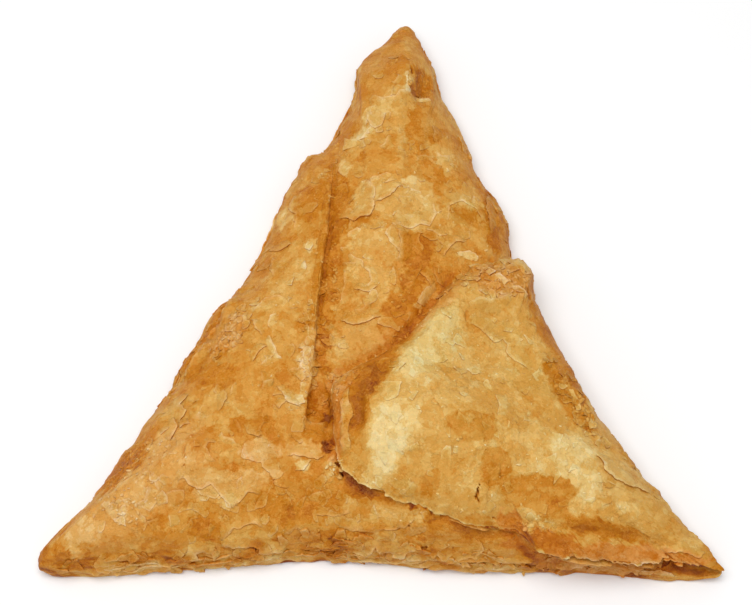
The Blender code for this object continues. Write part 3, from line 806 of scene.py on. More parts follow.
FLAP_PATCHES = (
    # rolled fold and the brown ground beside the lip, browner partly as painted shade in the
    # hollow between the lip, the fold and the crown
    (5.5, -12.6, 16, 2.6, 43, 0.53, 2), (16.5, -1, 5, 2.4, 35, 0.46, 1.6),
    (-0.6, -26, 5.2, 2.2, 62, 0.62, 2), (-7.2, -31, 8, 1.3, 88, 0.54, 0.6),
    (-2.2, -28.2, 7.8, 3.9, 74, 0.84, 10), (0.8, -22, 5.5, 2.4, 64, 0.8, 7),
    (4.8, -15.4, 6, 1.7, 54, 0.7, 5), (10.6, -8.2, 5, 1.1, 48, 0.6, 3),
    # cream ground
    (8.5, -20, 12, 5, 62, 0.26, 5), (9.4, -17.5, 6, 3.2, 66, 0.18, 4),
    (2.2, -33.5, 10, 4.6, 80, 0.26, 5), (1.2, -36.4, 6, 3.2, 78, 0.06, 4),
    (-6, -33, 5.5, 0.6, 88, 0.34, 0.4), (35.2, -39.7, 7.2, 4, -60, 0.18, 3),
    (27.4, -22.6, 4.2, 2.6, -40, 0.3, 1.8), (30, -28, 7, 4.6, -60, 0.46, 2.5),
    (45, -46, 6, 2.5, -40, 0.34, 1.8),
    # gold and brown on it
    (16.7, -24.6, 5.2, 3.8, 70, 0.38, 1.5), (20, -12, 5, 3.4, -20, 0.47, 0.8),
    (26.2, -19.4, 3.6, 2.4, -55, 0.49, 0.8), (16.2, -35, 4.6, 2.9, 0, 0.57, 0.6),
    (7, -41.7, 4, 2.9, 0, 0.42, 1), (8.9, -44.4, 1.8, 1.6, 80, 0.57, 0.8),
    (20.4, -41.7, 3.2, 2.6, 80, 0.6, 0.8), (28, -45.4, 6.6, 3.2, 0, 0.58, 1.2),
    # (39.5, -50.6): painted shade along the groove above the rim
    (30, -48, 4.8, 1.8, -10, 0.64, 0.8), (39.5, -50.6, 7.5, 1.5, -8, 0.74, 1.2),
    (39.6, -47, 1.6, 0.9, 0, 0.16, 0.5), (44, -47, 1, 0.7, 0, 0.18, 0.4),
    # top corner, right side and the rim below
    (22.5, -2.6, 7, 3.6, 0, 0.55, 1), (33, -14, 12, 2.6, -62, 0.65, 2),
    (48, -36.4, 17, 3, -55, 0.36, 3), (34.5, -25.5, 8, 2.6, -62, 0.7, 1.2),
    (24, -51.2, 3.6, 1.3, -35, 0.62, 0.6), (31, -53.4, 6.5, 1.7, -10, 0.76, 0.6),
    (42, -54.4, 8.5, 1.6, 0, 0.6, 0.6), (54, -54.5, 6.5, 1.2, 2, 0.6, 0.6),
    (60.6, -54, 3.4, 2.4, -30, 0.66, 1.2), (18, -50, 4, 0.9, -10, 0.6, 0.5),
)
# The same with a tint in place of the bake: 1 is pinkish, -1 is grey green
TINTS = (
    (-11.1, -27, 4.4, 2.2, 80, 0.2, 0.5), (-2.6, -27, 6.5, 2.6, 76, -0.4, 2),
    (-21, -37.2, 3.8, 2.2, 10, 0.5, 0.4), (-27.3, -42.2, 7.4, 2.4, 0, 0.35, 0.4),
    (16, 12.4, 3, 2.6, 30, -0.6, 0.8), (22.5, -3, 7, 4, 0, 0.4, 1.5),
    (-44, -42.5, 16, 8, 34, 0.4, 6), (-7, -24, 3, 2, 0, 0.7, 1),
    (-7.2, -31, 8.5, 1.5, 88, 0.9, 0.8), (9.6, -17.5, 8, 4.5, 60, -1.2, 3),
    (27.4, -23, 5, 3.5, -40, -0.8, 2), (33, -36, 8, 4.5, -60, -0.5, 2.5),
    (-14.2, -36.8, 3.9, 1.5, 0, 0.35, 0.4), (24, -51.2, 3.6, 1.4, -35, 0.8, 0.8),
    (31, -53.4, 5.5, 1.6, -10, 0.8, 0.8), (46, -54.4, 13, 1.7, 0, 1, 0.8),
    (16.2, -35, 4.6, 3, 0, -0.7, 0.8), (-28.5, -13, 5.5, 3, 60, 0.5, 1),
    (-12.9, -18.5, 7.2, 1.8, 85, 0.3, 0.8), (5.5, -12.6, 16, 2.6, 43, 0.35, 1.4),
)
# Blistered skin, in the same way
BLISTERS = (
    (-46.6, -38, 6.5, 3.8, 47, 1, 1.5), (-28.5, -13, 5.6, 3.4, 60, 1, 1),
    (-44.5, -48, 3.6, 3, 0, 0.9, 1.5), (22.5, -3, 7, 4, 0, 0.5, 1.5),
    (37, -28.5, 4.6, 2.2, -60, 0.9, 1), (-7, -24, 3, 2, 0, 0.9, 1),
    (-12.6, -17, 8, 1.6, 85, 0.8, 0.8), (-8.4, 0, 8, 1.4, 92, 0.8, 0.8),
    (-8, -40.4, 2.4, 2, 0, 0.9, 0.8), (8.2, 41.3, 4.6, 2.5, 78, 1, 0.4),
    (27, -50.4, 3.4, 1.4, 0, 0.9, 0.8),
)
# The ends of patches: how ragged they are, up to what half width that grows, and how sharp
PATCH_TEAR = 0.6
PATCH_TEAR_WIDTH = 2.0
PATCH_SHARPNESS = 4.5

# How far up normals point on the side walls and on the upper side, and the heights above the
# table over which the relief sets in
WALL_TO_TOP = (0.15, 0.75)
TABLE_FADE = (0.2, 2.2)
# Tilted flakes of two sizes: size, rise, and change of bake
WIDE_FLAKES = (6.5, 0.42, 0.06)
SMALL_FLAKES = (2.6, 0.18, 0.05)
# They stand up where noise of so many times their size rises from the one value to the other,
# and each has a level of its own beside its tilt
LIFTED_SIZE = 2.5
LIFTED = (-0.1, 0.35)
OWN_LEVEL = 0.5
# Small bubbles in blistered skin: size, the noise at which one starts, rise, and change of bake,
# which makes them paler, partly as painted highlight
BUBBLES = (1.1, 0.1, 0.4, -0.12)
# The thin layers in the side walls: their squeeze, the noise that is neither edge nor gap,
# their relief, how hollow the walls are, how much the layers' bake changes, paler on their raised
# edges and darker as painted shade in the sunken lines between them, and how much browner the walls
# are
LAYER_SQUEEZE = (0.22, 0.22, 1.3)
LAYER_LEVEL = 0.4
LAYER_RELIEF = 0.5
WALL_HOLLOW = 0.45
LAYER_PALE_AND_SHADE = -0.45
WALL_BAKE = 0.08
# Blotches: size, the noise at which one starts and is full, and change of bake
DARK_BLOTCHES = (5.0, 0.12, 0.3, 0.06)
PALE_BLOTCHES = (4.0, 0.15, 0.35, -0.06)
# Painted shade in the dark gaps between the layers: the same, and their squeeze
LAYER_GAP_SHADE = (2.0, 0.1, 0.3, 0.3)
GAP_SQUEEZE = (0.4, 0.4, 1.3)
# Patches end along the edges of flakes: their size, and how closely the ends follow them
PATCH_FLAKES = 1.7
PATCH_SNAP = 0.75
# How much browner creases and cracks are made, as painted shade in their hollows
LINE_SHADE_BAKE = 0.18
# A torn edge: how near to it the crust gets pale, partly as painted highlight, where the
# gap below it starts, which is darkened as painted shade, and the changes of bake and tint on
# the one and of bake in the other
TORN_PALE_AND_HIGHLIGHT_SPAN = (0.72, 0.86)
TORN_END = 0.98
TORN_PALE_AND_HIGHLIGHT_CHANGE = (-0.22, 0.3)
TORN_UNDERSIDE_SHADE = 0.3


def patched(points, start, patches, raggedness=1.0):
    """A value at each point: start, with oval patches of other values laid over it."""
    torn_by = raggedness * noise_sum(points, PATCH_EDGES)
    value = np.array(start, float) + np.zeros(len(points))
    for *place, half_length, half_width, turn, goal, soft in patches:
        shares = oval_shares(points[:, 0], points[:, 1], *place, half_length, half_width, turn)
        inside = (1.0 - np.hypot(*shares)) * half_width
        inside += torn_by * min(half_width, PATCH_TEAR_WIDTH) * PATCH_TEAR
        fade = soft / PATCH_SHARPNESS
        value += (goal - value) * smooth_step(inside, -fade, fade)
    return value


def flaky_relief(points, size, rise, change, seed):
    """Tilted flakes whose edges stand up in some places: their heights and changes of bake."""
    middle, number = flakes_at(points, size, seed)
    tilt = np.sum((points - middle) * SLOPES[number], axis=1) / size
    lifted = smooth_step(noise(points, size * LIFTED_SIZE, seed + 9), *LIFTED)
    height = rise * lifted * (tilt + OWN_LEVEL * (SHARES[number, 0] - 0.5))
    return height, change * (SHARES[number, 1] - 0.5)


def blotches(points, size, low, high, change, seed):
    """The change of bake in blotches, which grow where noise rises from low to high."""
    return change * smooth_step(noise(points, size, seed), low, high)


def finish_surface(vertices, faces, nearness, start, start_tint, patches, raggedness, seed):
    """Relief on a smooth piece, and the attributes that its material reads.

    Each kind of noise adds a number of its own to seed.
    """
    normals = vertex_normals(vertices, faces)
    x, y, z = vertices.T
    upward = smooth_step(normals[:, 2], *WALL_TO_TOP)
    named, line_shade = named_relief(vertices, x, y)
    blistered = patched(vertices, 0.0, BLISTERS)
    bubble_size, bubble_start, bubble_rise, bubble_pale_and_highlight = BUBBLES
    bubbles = np.clip(noise(vertices, bubble_size, seed + 60) - bubble_start, 0.0, 1.0)
    bubbles *= blistered
    wide_flakes, wide_shade = flaky_relief(vertices, *WIDE_FLAKES, seed + 10)
    small_flakes, small_shade = flaky_relief(vertices, *SMALL_FLAKES, seed + 20)
    # The side walls show the stacked edges of thin layers
    layers = LAYER_LEVEL - np.abs(noise_sum(vertices * LAYER_SQUEEZE, LAYER_EDGES, seed))
    relief = noise_sum(vertices, SURFACE_RELIEF, seed) + wide_flakes + small_flakes
    relief += bubble_rise * bubbles + named * upward
    relief += (LAYER_RELIEF * layers - WALL_HOLLOW) * (1.0 - upward)
    shaped = vertices + normals * (relief * smooth_step(z, *TABLE_FADE))[:, None]
    shaped[:, 2] = np.maximum(shaped[:, 2], 0.0)

    # Patches end where small flakes end
    flake_middle, _ = flakes_at(vertices, PATCH_FLAKES, seed + 30)
    snapped = vertices + PATCH_SNAP * raggedness * (flake_middle - vertices)
    bake = patched(snapped, start + noise_sum(vertices, BAKE_DRIFT, seed), patches, raggedness)
    bake += blotches(snapped, *DARK_BLOTCHES, seed + 81)
    bake += blotches(snapped, *PALE_BLOTCHES, seed + 82)
    # Creases and cracks are darkened as painted shade, and bubbles made paler, partly as painted
    # highlight
    bake += wide_shade + small_shade + bubble_pale_and_highlight * bubbles + LINE_SHADE_BAKE * line_shade * upward
    # The gaps between the wall's layers are darkened as painted shade
    gap_shade = blotches(vertices * GAP_SQUEEZE, *LAYER_GAP_SHADE, seed + 75)
    bake += (1.0 - upward) * (WALL_BAKE + LAYER_PALE_AND_SHADE * layers + gap_shade)
    # A torn edge is pale, partly as painted highlight, with painted shade in the dark gap below it
    pale = smooth_step(nearness, *TORN_PALE_AND_HIGHLIGHT_SPAN) * (nearness < TORN_END)
    bake += TORN_PALE_AND_HIGHLIGHT_CHANGE[0] * pale + TORN_UNDERSIDE_SHADE * (nearness > TORN_END)
    tint = patched(snapped, start_tint, TINTS) + TORN_PALE_AND_HIGHLIGHT_CHANGE[1] * pale
    return shaped, {"bake": bake, "tint": tint, "blistered": blistered}


# --------------------------------------------------------------------------- materials

# The colours above are those of the lit crust. The light's strength is divided out of them,
# and the white that its gloss adds is taken off.
LIGHT_STRENGTH = 1.05
GLOSS_VEIL = 0.024
LEAST_COLOUR = 0.004
# Full tints multiply the colour by these
PINK_CAST = (1.02, 0.90, 1.12, 1.0)
GREEN_CAST = (0.93, 0.98, 0.98, 1.0)
# The tone of the finest grain, and the darkest colour that it leaves
FINE_TONE = (0.66, 0.42, 0.15)
DARKEST = (0.04, 0.01, 0.002)
CRUST_ROUGHNESS = 0.5
# Skins in the crust: the step of bake between two, and how much of each one's own gradient goes
SKIN_STEP = 0.12
SKIN_SHARE = 0.85


def linear(display):
    """A lit colour from 0 to 255 as the linear red, green, blue and alpha of the crust itself."""
    share = np.array(display) / 255.0
    seen = ((share + 0.055) / 1.055) ** 2.4
    return (*np.maximum(seen / LIGHT_STRENGTH - GLOSS_VEIL, LEAST_COLOUR), 1.0)


class Value:
    """A node's output. Arithmetic with it adds Math nodes."""

    def __init__(self, graph, socket):
        self.graph = graph
        self.socket = socket

    def __add__(self, other):
        return self.graph.math("ADD", self, other)

    def __sub__(self, other):
        return self.graph.math("SUBTRACT", self, other)

    def __mul__(self, other):
        return self.graph.math("MULTIPLY", self, other)

    def __truediv__(self, other):
        return self.graph.math("DIVIDE", self, other)

    def beside(self, name):
        """Another output of the same node."""
        return Value(self.graph, self.socket.node.outputs[name])


class Graph:
    """Adds linked nodes to a material."""

    def __init__(self, material):
        self.tree = material.node_tree
        place = self.add("ShaderNodeTexCoord", output="Object")
        self.spot = self.vector("SCALE", place, Scale=1.0 / MM)

    def add(self, kind, values=None, output=0, **settings):
        """A new node's output; values are numbers or other outputs for its inputs."""
        node = self.tree.nodes.new(kind)
        for name, setting in settings.items():
            setattr(node, name, setting)
        for key, value in (values or {}).items():
            if isinstance(value, Value):
                self.tree.links.new(value.socket, node.inputs[key])
            else:
                node.inputs[key].default_value = value
        return Value(self, node.outputs[output])

    def math(self, operation, *values, clamp=False):
        """The result of a Math node."""
        return self.add("ShaderNodeMath", dict(enumerate(values)), operation=operation,
                        use_clamp=clamp)

    def vector(self, operation, *values, output=0, **named):
        """The result of a Vector Math node."""
        return self.add("ShaderNodeVectorMath", {**dict(enumerate(values)), **named}, output,
                        operation=operation)

    def read(self, name):
        """A point attribute's value."""
        return self.add("ShaderNodeAttribute", output="Fac", attribute_name=name)

    def noise(self, scale, detail, strength=0.5):
        """Noise from -strength to strength, with scale features to a millimetre."""
        values = {"Vector": self.spot, "Scale": scale, "Detail": detail, "Roughness": 0.55}
        return (self.add("ShaderNodeTexNoise", values, "Fac") - 0.5) * (strength * 2.0)

    def ramp(self, value, low, high, low_value=0.0, high_value=1.0):
        """A smooth rise from low to high."""
        values = {"Value": value, "From Min": low, "From Max": high, "To Min": low_value,
                  "To Max": high_value}
        return self.add("ShaderNodeMapRange", values, "Result", interpolation_type="SMOOTHSTEP")


def crust_material(name, roughness):
    """Flaky baked crust: its bake and tint come from the mesh, its fine grain from noise."""
    material = bpy.data.materials.new(name)
    material.use_nodes = True
    shader = material.node_tree.nodes["Principled BSDF"]
    graph = Graph(material)
    noise_at, ramp, spot = graph.noise, graph.ramp, graph.spot

    mottle = noise_at(0.55, 6.0, 0.20)
    grain = noise_at(2.4, 3.0, 0.18) + noise_at(4.5, 2.0, 0.16)
    grain = grain * ramp(noise_at(0.35, 3.0), -0.12, 0.16, 0.4, 1.3)
    # Tiny flakes, each tilted its own way, where a slow noise lets them
    bend = graph.add("ShaderNodeTexNoise", {"Vector": spot, "Scale": 0.8, "Detail": 3.0}, "Color")
    bent = graph.vector("MULTIPLY_ADD", bend, (1.6, 1.6, 1.6), spot)
    flakes = graph.add("ShaderNodeTexVoronoi", {"Vector": bent, "Scale": 0.75}, "Color")
    lean = graph.vector("SUBTRACT", flakes, (0.5, 0.5, 0.5))
    tilt = graph.vector("DOT_PRODUCT", graph.vector("SUBTRACT", bent, flakes.beside("Position")),
                        lean, output="Value")
    tilt = tilt * ramp(noise_at(0.16, 3.0), -0.08, 0.16)
    flake_shade = graph.add("ShaderNodeSeparateColor", {"Color": flakes}, "Red") - 0.5
    # Thin skins that end in crisp edges
    chips = ramp(noise_at(0.30, 6.0), 0.0, 0.02) + ramp(noise_at(0.75, 5.0), 0.05, 0.08)
    # Pale flecks, in clusters, partly pale bits of crust and partly painted glints
    fleck = ramp(noise_at(1.5, 2.0), 0.13, 0.20) * ramp(noise_at(0.13, 3.0), -0.02, 0.12)
    bubble = graph.add("ShaderNodeTexVoronoi", {"Vector": spot, "Scale": 0.9, "Smoothness": 0.4},
                       "Distance", feature="SMOOTH_F1")
    bubble_top = ramp(bubble, 0.1, 0.5, 1.0, 0.0) * graph.read("blistered")

    # Skins of slightly different bake lie over one another and end in ragged steps
    bake = graph.read("bake") + mottle
    skin = graph.math("SNAP", bake, SKIN_STEP)
    past = bake - skin - SKIN_STEP / 2.0
    bake = bake - past * SKIN_SHARE - chips * 0.06
    colour = graph.add("ShaderNodeValToRGB", {"Fac": bake / BAKE_SPAN}, "Color")
    stops = colour.socket.node.color_ramp.elements
    for number, (position, display) in enumerate(BAKE_COLOURS):
        stop = stops[number] if number < 2 else stops.new(position / BAKE_SPAN)
        stop.position = position / BAKE_SPAN
        stop.color = linear(display)
    tint = graph.read("tint")
    for sign, cast in ((1.0, PINK_CAST), (-1.0, GREEN_CAST)):
        amount = graph.math("MULTIPLY", tint, sign, clamp=True)
        colour = graph.add("ShaderNodeMix", {"Factor": amount, 6: colour, 7: cast}, 2,
                           data_type="RGBA", blend_type="MULTIPLY")
    # The finest grain is lighter and darker in the same tone. The flecks and the bubble tops make
    # it lighter, partly as painted glints and highlights
    shade = grain + flake_shade * 0.09 + fleck * 0.18 + bubble_top * 0.14
    colour = graph.vector("MULTIPLY_ADD", FINE_TONE, shade, colour)
    colour = graph.vector("MAXIMUM", colour, DARKEST)

    # How high each kind of unevenness stands, in millimetres
    height = noise_at(1.6, 5.0, 0.06) + noise_at(5.0, 3.0, 0.04) - skin * 0.15
    height = height + tilt * 0.14 + fleck * 0.07 + chips * 0.02 + bubble_top * 0.22
    bump = graph.add("ShaderNodeBump", {"Height": height, "Distance": MM, "Strength": 1.0},
                     "Normal")
    graph.tree.links.new(colour.socket, shader.inputs["Base Color"])
    graph.tree.links.new(bump.socket, shader.inputs["Normal"])
    for label, value in (("Roughness", roughness), ("Specular IOR Level", 0.12),
                         ("Subsurface Weight", 0.10), ("Subsurface Radius", (1.0, 0.45, 0.2)),
                         ("Subsurface Scale", 1.5 * MM)):
        shader.inputs[label].default_value = value
    return material


# --------------------------------------------------------------------------- loose layers

# The crust is looked at from above and from its three sides to lay flakes on it. Each view has
# an origin and its ways right, up and inward.
VIEW_DISTANCE = 80.0


def side_view(start, end, tilt=0.0):
    """The view of the side wall that runs from start to end, left to right, seen from tilt up."""
    right = np.array([end[0] - start[0], end[1] - start[1], 0.0])
    right /= np.linalg.norm(right)
    lean = math.radians(tilt)
    level = np.array([-right[1], right[0], 0.0])
    up = level * math.sin(lean) + (0.0, 0.0, math.cos(lean))
    return np.array([*start, 0.0]), right, up, -np.cross(right, up)


TOP = (np.zeros(3), np.eye(3)[0], np.eye(3)[1], -np.eye(3)[2])
FRONT = side_view(LEFT_TIP, RIGHT_TIP)
BROW = side_view(LEFT_TIP, RIGHT_TIP, 60.0)
LEFT_SIDE = side_view(APEX, LEFT_TIP)
RIGHT_SIDE = side_view(RIGHT_TIP, APEX)

# Flakes with a place of their own: outline, way from the joined side to the free side in
# degrees, rise, and change of bake
NAMED_FLAKES = (
    (((-24.5, -36), (-24.7, -38.3), (-21.7, -39), (-19.7, -40.7), (-19, -42), (-17.7, -42),
      (-17.2, -41), (-18, -40), (-18.3, -35), (-22, -34.7)), -130, 0.21, -0.06),
    (((-7.2, 26.7), (-3.9, 27.2), (-3.7, 28.6), (-5.2, 29), (-6.8, 29.8)), 160, 0.27, -0.06),
    (((-3.9, 28), (-1.5, 28.4), (0, 31), (-1.6, 30.8), (-2.4, 30)), 150, 0.18, -0.06),
    (((-8, 21.6), (-6.9, 20), (-5.7, 20.9), (-5.9, 23.2), (-6.8, 24)), 180, 0.18, -0.06),
    (((-14.3, 4.6), (-13.2, 3.8), (-12.5, 4.8), (-12.9, 6.5), (-13.8, 6.2)), -100, 0.21, -0.1),
    (((7, -7.4), (8.4, -8), (10.7, -4.4), (10.2, -3.3), (8.6, -4.4)), 150, 0.18, -0.1),
    (((-15.3, -40.4), (-13.6, -40.5), (-12.2, -38.7), (-13.4, -38.3), (-14.6, -39.2)),
      -60, 0.3, -0.12),
    (((22.7, -13.6), (24.4, -13.7), (25, -12.6), (23.6, -12.3)), -90, 0.24, -0.12),
    (((5.1, 37.6), (6, 38.3), (5.6, 40.8), (5.9, 43.4), (5, 43), (4.7, 40)), 0, 0.18, -0.16),
    (((6, 37.4), (7.6, 36.8), (10.2, 37.6), (9.8, 38.4), (7.9, 37.8), (6.8, 38.3)),
      90, 0.18, -0.16),
    (((-16.4, -27), (-15.2, -28.6), (-13.6, -27.8), (-14, -25.9), (-15.4, -25.4)),
      -90, 0.21, -0.1),
    (((-28.7, -44.2), (-27.6, -46.4), (-26.6, -46.7), (-25.7, -44.6), (-27, -43.8)),
      -90, 0.18, -0.08),
    (((13.6, -0.8), (15.6, -4.2), (16.2, -3.6), (15.4, -0.4)), -60, 0.24, -0.1),
    (((14.6, 3.6), (15.4, 2.2), (18.4, 2.4), (18.8, 3.4), (17, 4.2)), 80, 0.42, -0.26),
    (((16.4, 1.8), (17.6, -0.2), (19.2, 0.4), (18.6, 2)), -30, 0.36, -0.24),
    (((18.8, -0.6), (20.4, -2.8), (21.6, -1.6), (20.4, -0.2)), -40, 0.42, -0.28),
    (((20.6, -2.6), (23, -4.8), (24, -3.6), (22.4, -2.2)), 60, 0.36, -0.24),
    (((24.4, -4.8), (27, -6.6), (27.6, -5.4), (26, -4.2)), 60, 0.3, -0.2),
    (((31.8, -23.6), (33, -25), (34.4, -24.2), (33.2, -23)), -80, 0.3, -0.26),
    (((34, -24.6), (35.6, -29), (36.8, -28.6), (35.4, -24.4)), 10, 0.3, -0.22),
    (((36.6, -28.4), (38, -32.4), (39.2, -31.8), (37.8, -28)), 10, 0.3, -0.22),
    (((16.4, -1.6), (18, -4.6), (18.8, -3.6), (17.8, -1.4)), -80, 0.24, -0.1),
)

# Broad sheets with torn lower edges over the front's rounded brow: points in that view, with the
# sheet above them, rise, how far back they join the crust, and change of bake
BROW_SHEETS = (
    (((33.3, 6), (35.3, 5.9), (36.1, 5.5), (38.7, 5.5), (39.8, 5.9), (40.6, 5.4), (40.9, 4.2),
      (41.7, 3.7), (43.2, 4.3), (45.8, 3.8)), 0.7, 4.5, -0.12),
    (((26, 1.9), (27.4, 2.6), (29.6, 2.6), (29.5, 4.7), (30.8, 4.8), (32.1, 4.1), (32.5, 2.6),
      (33.9, 4.3)), 0.55, 3, -0.1),
    (((58.1, 3.6), (60.1, 3.4), (60.8, 3.9), (61.8, 6), (61.9, 4.9), (62.6, 4.5), (64.4, 5),
      (65, 3.7), (66.1, 3.1), (67, 3.6), (67.9, 5.1), (69.5, 5.8), (70, 6.7)), 0.7, 4, -0.12),
    (((75.7, 2.2), (77.4, 3.5), (78.5, 4.2), (79.6, 4.2), (80.3, 2.9), (80.8, 2.1)),
      0.6, 3, -0.08),
    (((44, 1.2), (47, 0.9), (49.6, 1.8), (52.4, 1.4), (56, 1.9)), 0.4, 1.2, -0.16),
    (((117.1, 0.4), (116.4, 0.8), (115.2, 1.4), (113.7, 1.9), (111.9, 2), (110.1, 1.8),
      (108.5, 2.1), (107.7, 1.4)), 0.45, 1.6, -0.22),
)

# Scattered things differ from one to the next. A pair of numbers is the range that they are
# drawn from, and whole numbers stay below its end. SEEDS is the range for their torn edges.
SEEDS = (1, 200)
# Scattered flakes: view, middle, half length, half width, turn in degrees, count, radius, rise
FLAKE_FIELDS = (
    (TOP, 0, -20, 62, 42, 0, 260, 1.1, 0.22), (TOP, 0, -20, 62, 42, 0, 120, 1.9, 0.26),
    (TOP, 2, 30, 26, 14, 90, 70, 1, 0.2), (TOP, -45, -40, 10, 5, 38, 80, 0.45, 0.25),
    (TOP, -29, -13, 7, 4, 60, 60, 0.9, 0.35), (TOP, 22, -3, 7.5, 4.5, 0, 80, 1, 0.5),
    (TOP, -6.5, -24.5, 5, 2.6, 30, 40, 0.8, 0.35), (TOP, 36, -27, 11, 2.4, -60, 60, 1, 0.35),
    (TOP, -13, -18, 12, 2.2, 85, 50, 0.8, 0.25), (TOP, 27, -50.6, 6, 1.4, -6, 36, 0.7, 0.3),
    (TOP, -20, -48, 34, 4, 0, 70, 1.1, 0.22), (FRONT, 62, 4.5, 60, 4.2, 0, 190, 1.6, 0.8),
    (LEFT_SIDE, 65, 4, 60, 3.6, 0, 140, 1.5, 0.35),
    (RIGHT_SIDE, 63, 4, 58, 3.6, 0, 140, 1.5, 0.35),
)
# How unequal they are, their corners, how narrow they are, shares of the rise, and changes of
# bake. One is left out where the crust falls under it by more than so many times its size.
FLAKE_SPREAD = 0.35
FLAKE_CORNERS = (5, 9)
FLAKE_WIDTHS = (0.45, 0.9)
FLAKE_RISES = (0.2, 0.8)
FLAKE_CHANGES = (-0.08, 0.03)
FLAKE_STEEPEST = 1.6
# The most that the crust may fall under a flake with a place of its own
NAMED_STEEPEST = 9.0

# Scattered small sheets on top: middle, half length, half width, turn in degrees, count
SHEET_FIELDS = (
    (-26, -24, 34, 12, 52, 34), (3, 18, 26, 12, 85, 20), (-20, -47, 34, 5, 0, 16),
    (30, -30, 26, 9, -58, 6),
)
# The bends at their line's points in radians, the steps from one to the next, how many there
# are, rise, how far back they join the crust, changes of bake, and the most that the crust may
# fall under one
SMALL_SHEET_BENDS = (-1.3, 1.3)
SMALL_SHEET_STEPS = (0.8, 2.0)
SMALL_SHEET_COUNTS = (2, 5)
SMALL_SHEET_RISES = (0.05, 0.2)
SMALL_SHEET_BACKS = (1.2, 2.6)
SMALL_SHEET_CHANGES = (-0.12, 0.06)
SMALL_SHEET_STEEPEST = 2.0

# Torn strips along the side walls: view, length of the wall, count
WALL_STRIPS = ((FRONT, 125.0, 44), (LEFT_SIDE, 130.0, 26), (RIGHT_SIDE, 126.0, 26))
# How far they keep from the wall's ends, their lengths, their heights, how these vary along
# one and at how many points, the share that is free above, and the rest as for small sheets
WALL_END = 8.0
STRIP_LENGTHS = (5.0, 14.0)
STRIP_LEVELS = (1.0, 6.5)
STRIP_WANDER = (-0.9, 0.9)
STRIP_POINTS = 5
FREE_ABOVE = 0.4
STRIP_RISES = (0.2, 0.55)
STRIP_BACKS = (1.4, 2.8)
STRIP_CHANGES = (-0.16, 0.06)

# Crumbs: middle, half length, half width, turn in degrees, count, size
CRUMB_FIELDS = (
    (-10.2, 20.8, 1.8, 0.8, 0, 14, 0.45), (-8.3, 3, 4.5, 0.9, 92, 18, 0.4),
    (-9, -3.5, 4, 1.6, 95, 24, 0.45), (-28.4, -12.8, 5, 3, 60, 45, 0.6),
    (-9.5, -22.5, 1.2, 0.7, 0, 8, 0.5), (-16, -29.2, 0.6, 0.6, 0, 4, 0.5),
    (3.6, -7.2, 1, 1.4, 0, 7, 0.5), (5, -13, 12, 1.5, 43, 40, 0.5), (23, -3, 6, 3, 0, 34, 0.55),
    (17.9, 3.5, 1.4, 1.2, 0, 8, 0.5), (19.6, -2.8, 0.8, 0.8, 0, 5, 0.5),
    (32.3, -24, 1, 0.5, 0, 3, 0.7), (37, -28.5, 4, 1.6, -60, 26, 0.7),
    (14.3, -37.3, 1, 0.5, 0, 4, 0.6), (27.2, -50.5, 2.2, 1, 0, 14, 0.6),
    (-45, -48, 2.6, 2.4, 0, 24, 0.5), (-46.2, -37.6, 5.5, 3, 47, 50, 0.4),
    (-3.7, -51, 3, 0.6, 0, 9, 0.5), (-8, -40.2, 1.6, 1.6, 0, 20, 0.5),
    (-7, -28, 3, 1, 85, 14, 0.4), (5.7, 41, 3.2, 0.8, 80, 10, 0.5), (0, -15, 60, 45, 0, 760, 0.3),
)
# How unequal they are, then as shares of their radius: half their lengths, widths and height,
# how uneven they are, the unevenness's size and how far above the crust their middles lie, then
# their changes of bake and tint
CRUMB_SPREAD = 0.3
CRUMB_LENGTHS = (1.0, 1.7)
CRUMB_WIDTHS = (0.6, 1.0)
CRUMB_HEIGHT = 0.55
CRUMB_UNEVENNESS = 0.28
CRUMB_BUMP_SIZE = 0.9
CRUMB_LIFT = 0.15
CRUMB_CHANGES = (-0.3, -0.02)
CRUMB_TINT = 0.2

# Each leaf: its thickness, how deep its joined side is buried, how pale its free rim is, partly
# as painted highlight, how much painted shade browns its underside, the rim's tint, which is
# part of the same highlight, and how far its underside lies in the crust
LEAF = 0.10
LEAF_BURY = 0.12
LEAF_RIM_PALE_AND_HIGHLIGHT = 0.2
LEAF_UNDER_SHADE = 0.3
LEAF_RIM_PALE_AND_HIGHLIGHT_TINT = 0.6
LEAF_FOOT = 0.05
# How steeply it curls up, its own waves for each millimetre of rise, and how much of the
# crust's own pattern shows in its bake
LEAF_CURL = 1.7
LEAF_WAVES = ((0.12, 0.9, 91),)
LEAF_PATTERN = 0.7
# How free it is where it starts to come out of the crust, and where it is out of it
LEAF_JOINED = (0.05, 0.5)
# Sheets: the spacing of points along the edges and inside, over how many points their way is
# evened out and how much it keeps to the straight line, the most that tears cut in, how much
# of them is left at the ends, and the shares of the length over which tears and rise set in
SHEET_SPACING = 0.35
SHEET_INNER_SPACING = 0.7
SHEET_EVENED = 15
SHEET_STRAIGHTNESS = 0.3
SHEET_TEAR = 0.35
SHEET_END_TEAR = 0.3
SHEET_TEAR_FADE = 0.1
SHEET_RISE_FADE = 0.14
# Flakes: the spacings as shares of the size, with limits, how torn they are, how little they
# follow the crust, and three shares of their rise, one of which their underside has
FLAKE_SPACING = 0.09
FLAKE_SPACING_LIMITS = (0.16, 0.35)
FLAKE_INNER_SPACING = 0.16
FLAKE_LEAST_INNER_SPACING = 0.3
FLAKE_TEAR = 0.06
FLAKE_STIFFNESS = 0.6
FLAKE_GAPS = (0.0, 0.0, 0.6)

# Layers under the flap's edge: places round its outline where each starts and ends, how far it
# stands out, how far it lies below the edge, and its bake
UNDER_LAYERS = (
    (1.58, 1.8, -0.1, 0.7, 0.64), (1.26, 1.46, 0.2, 1.2, 0.52), (1.14, 1.27, 0.1, 1.3, 0.62),
    (1.04, 1.15, -1.6, 1.6, 0.62),
)
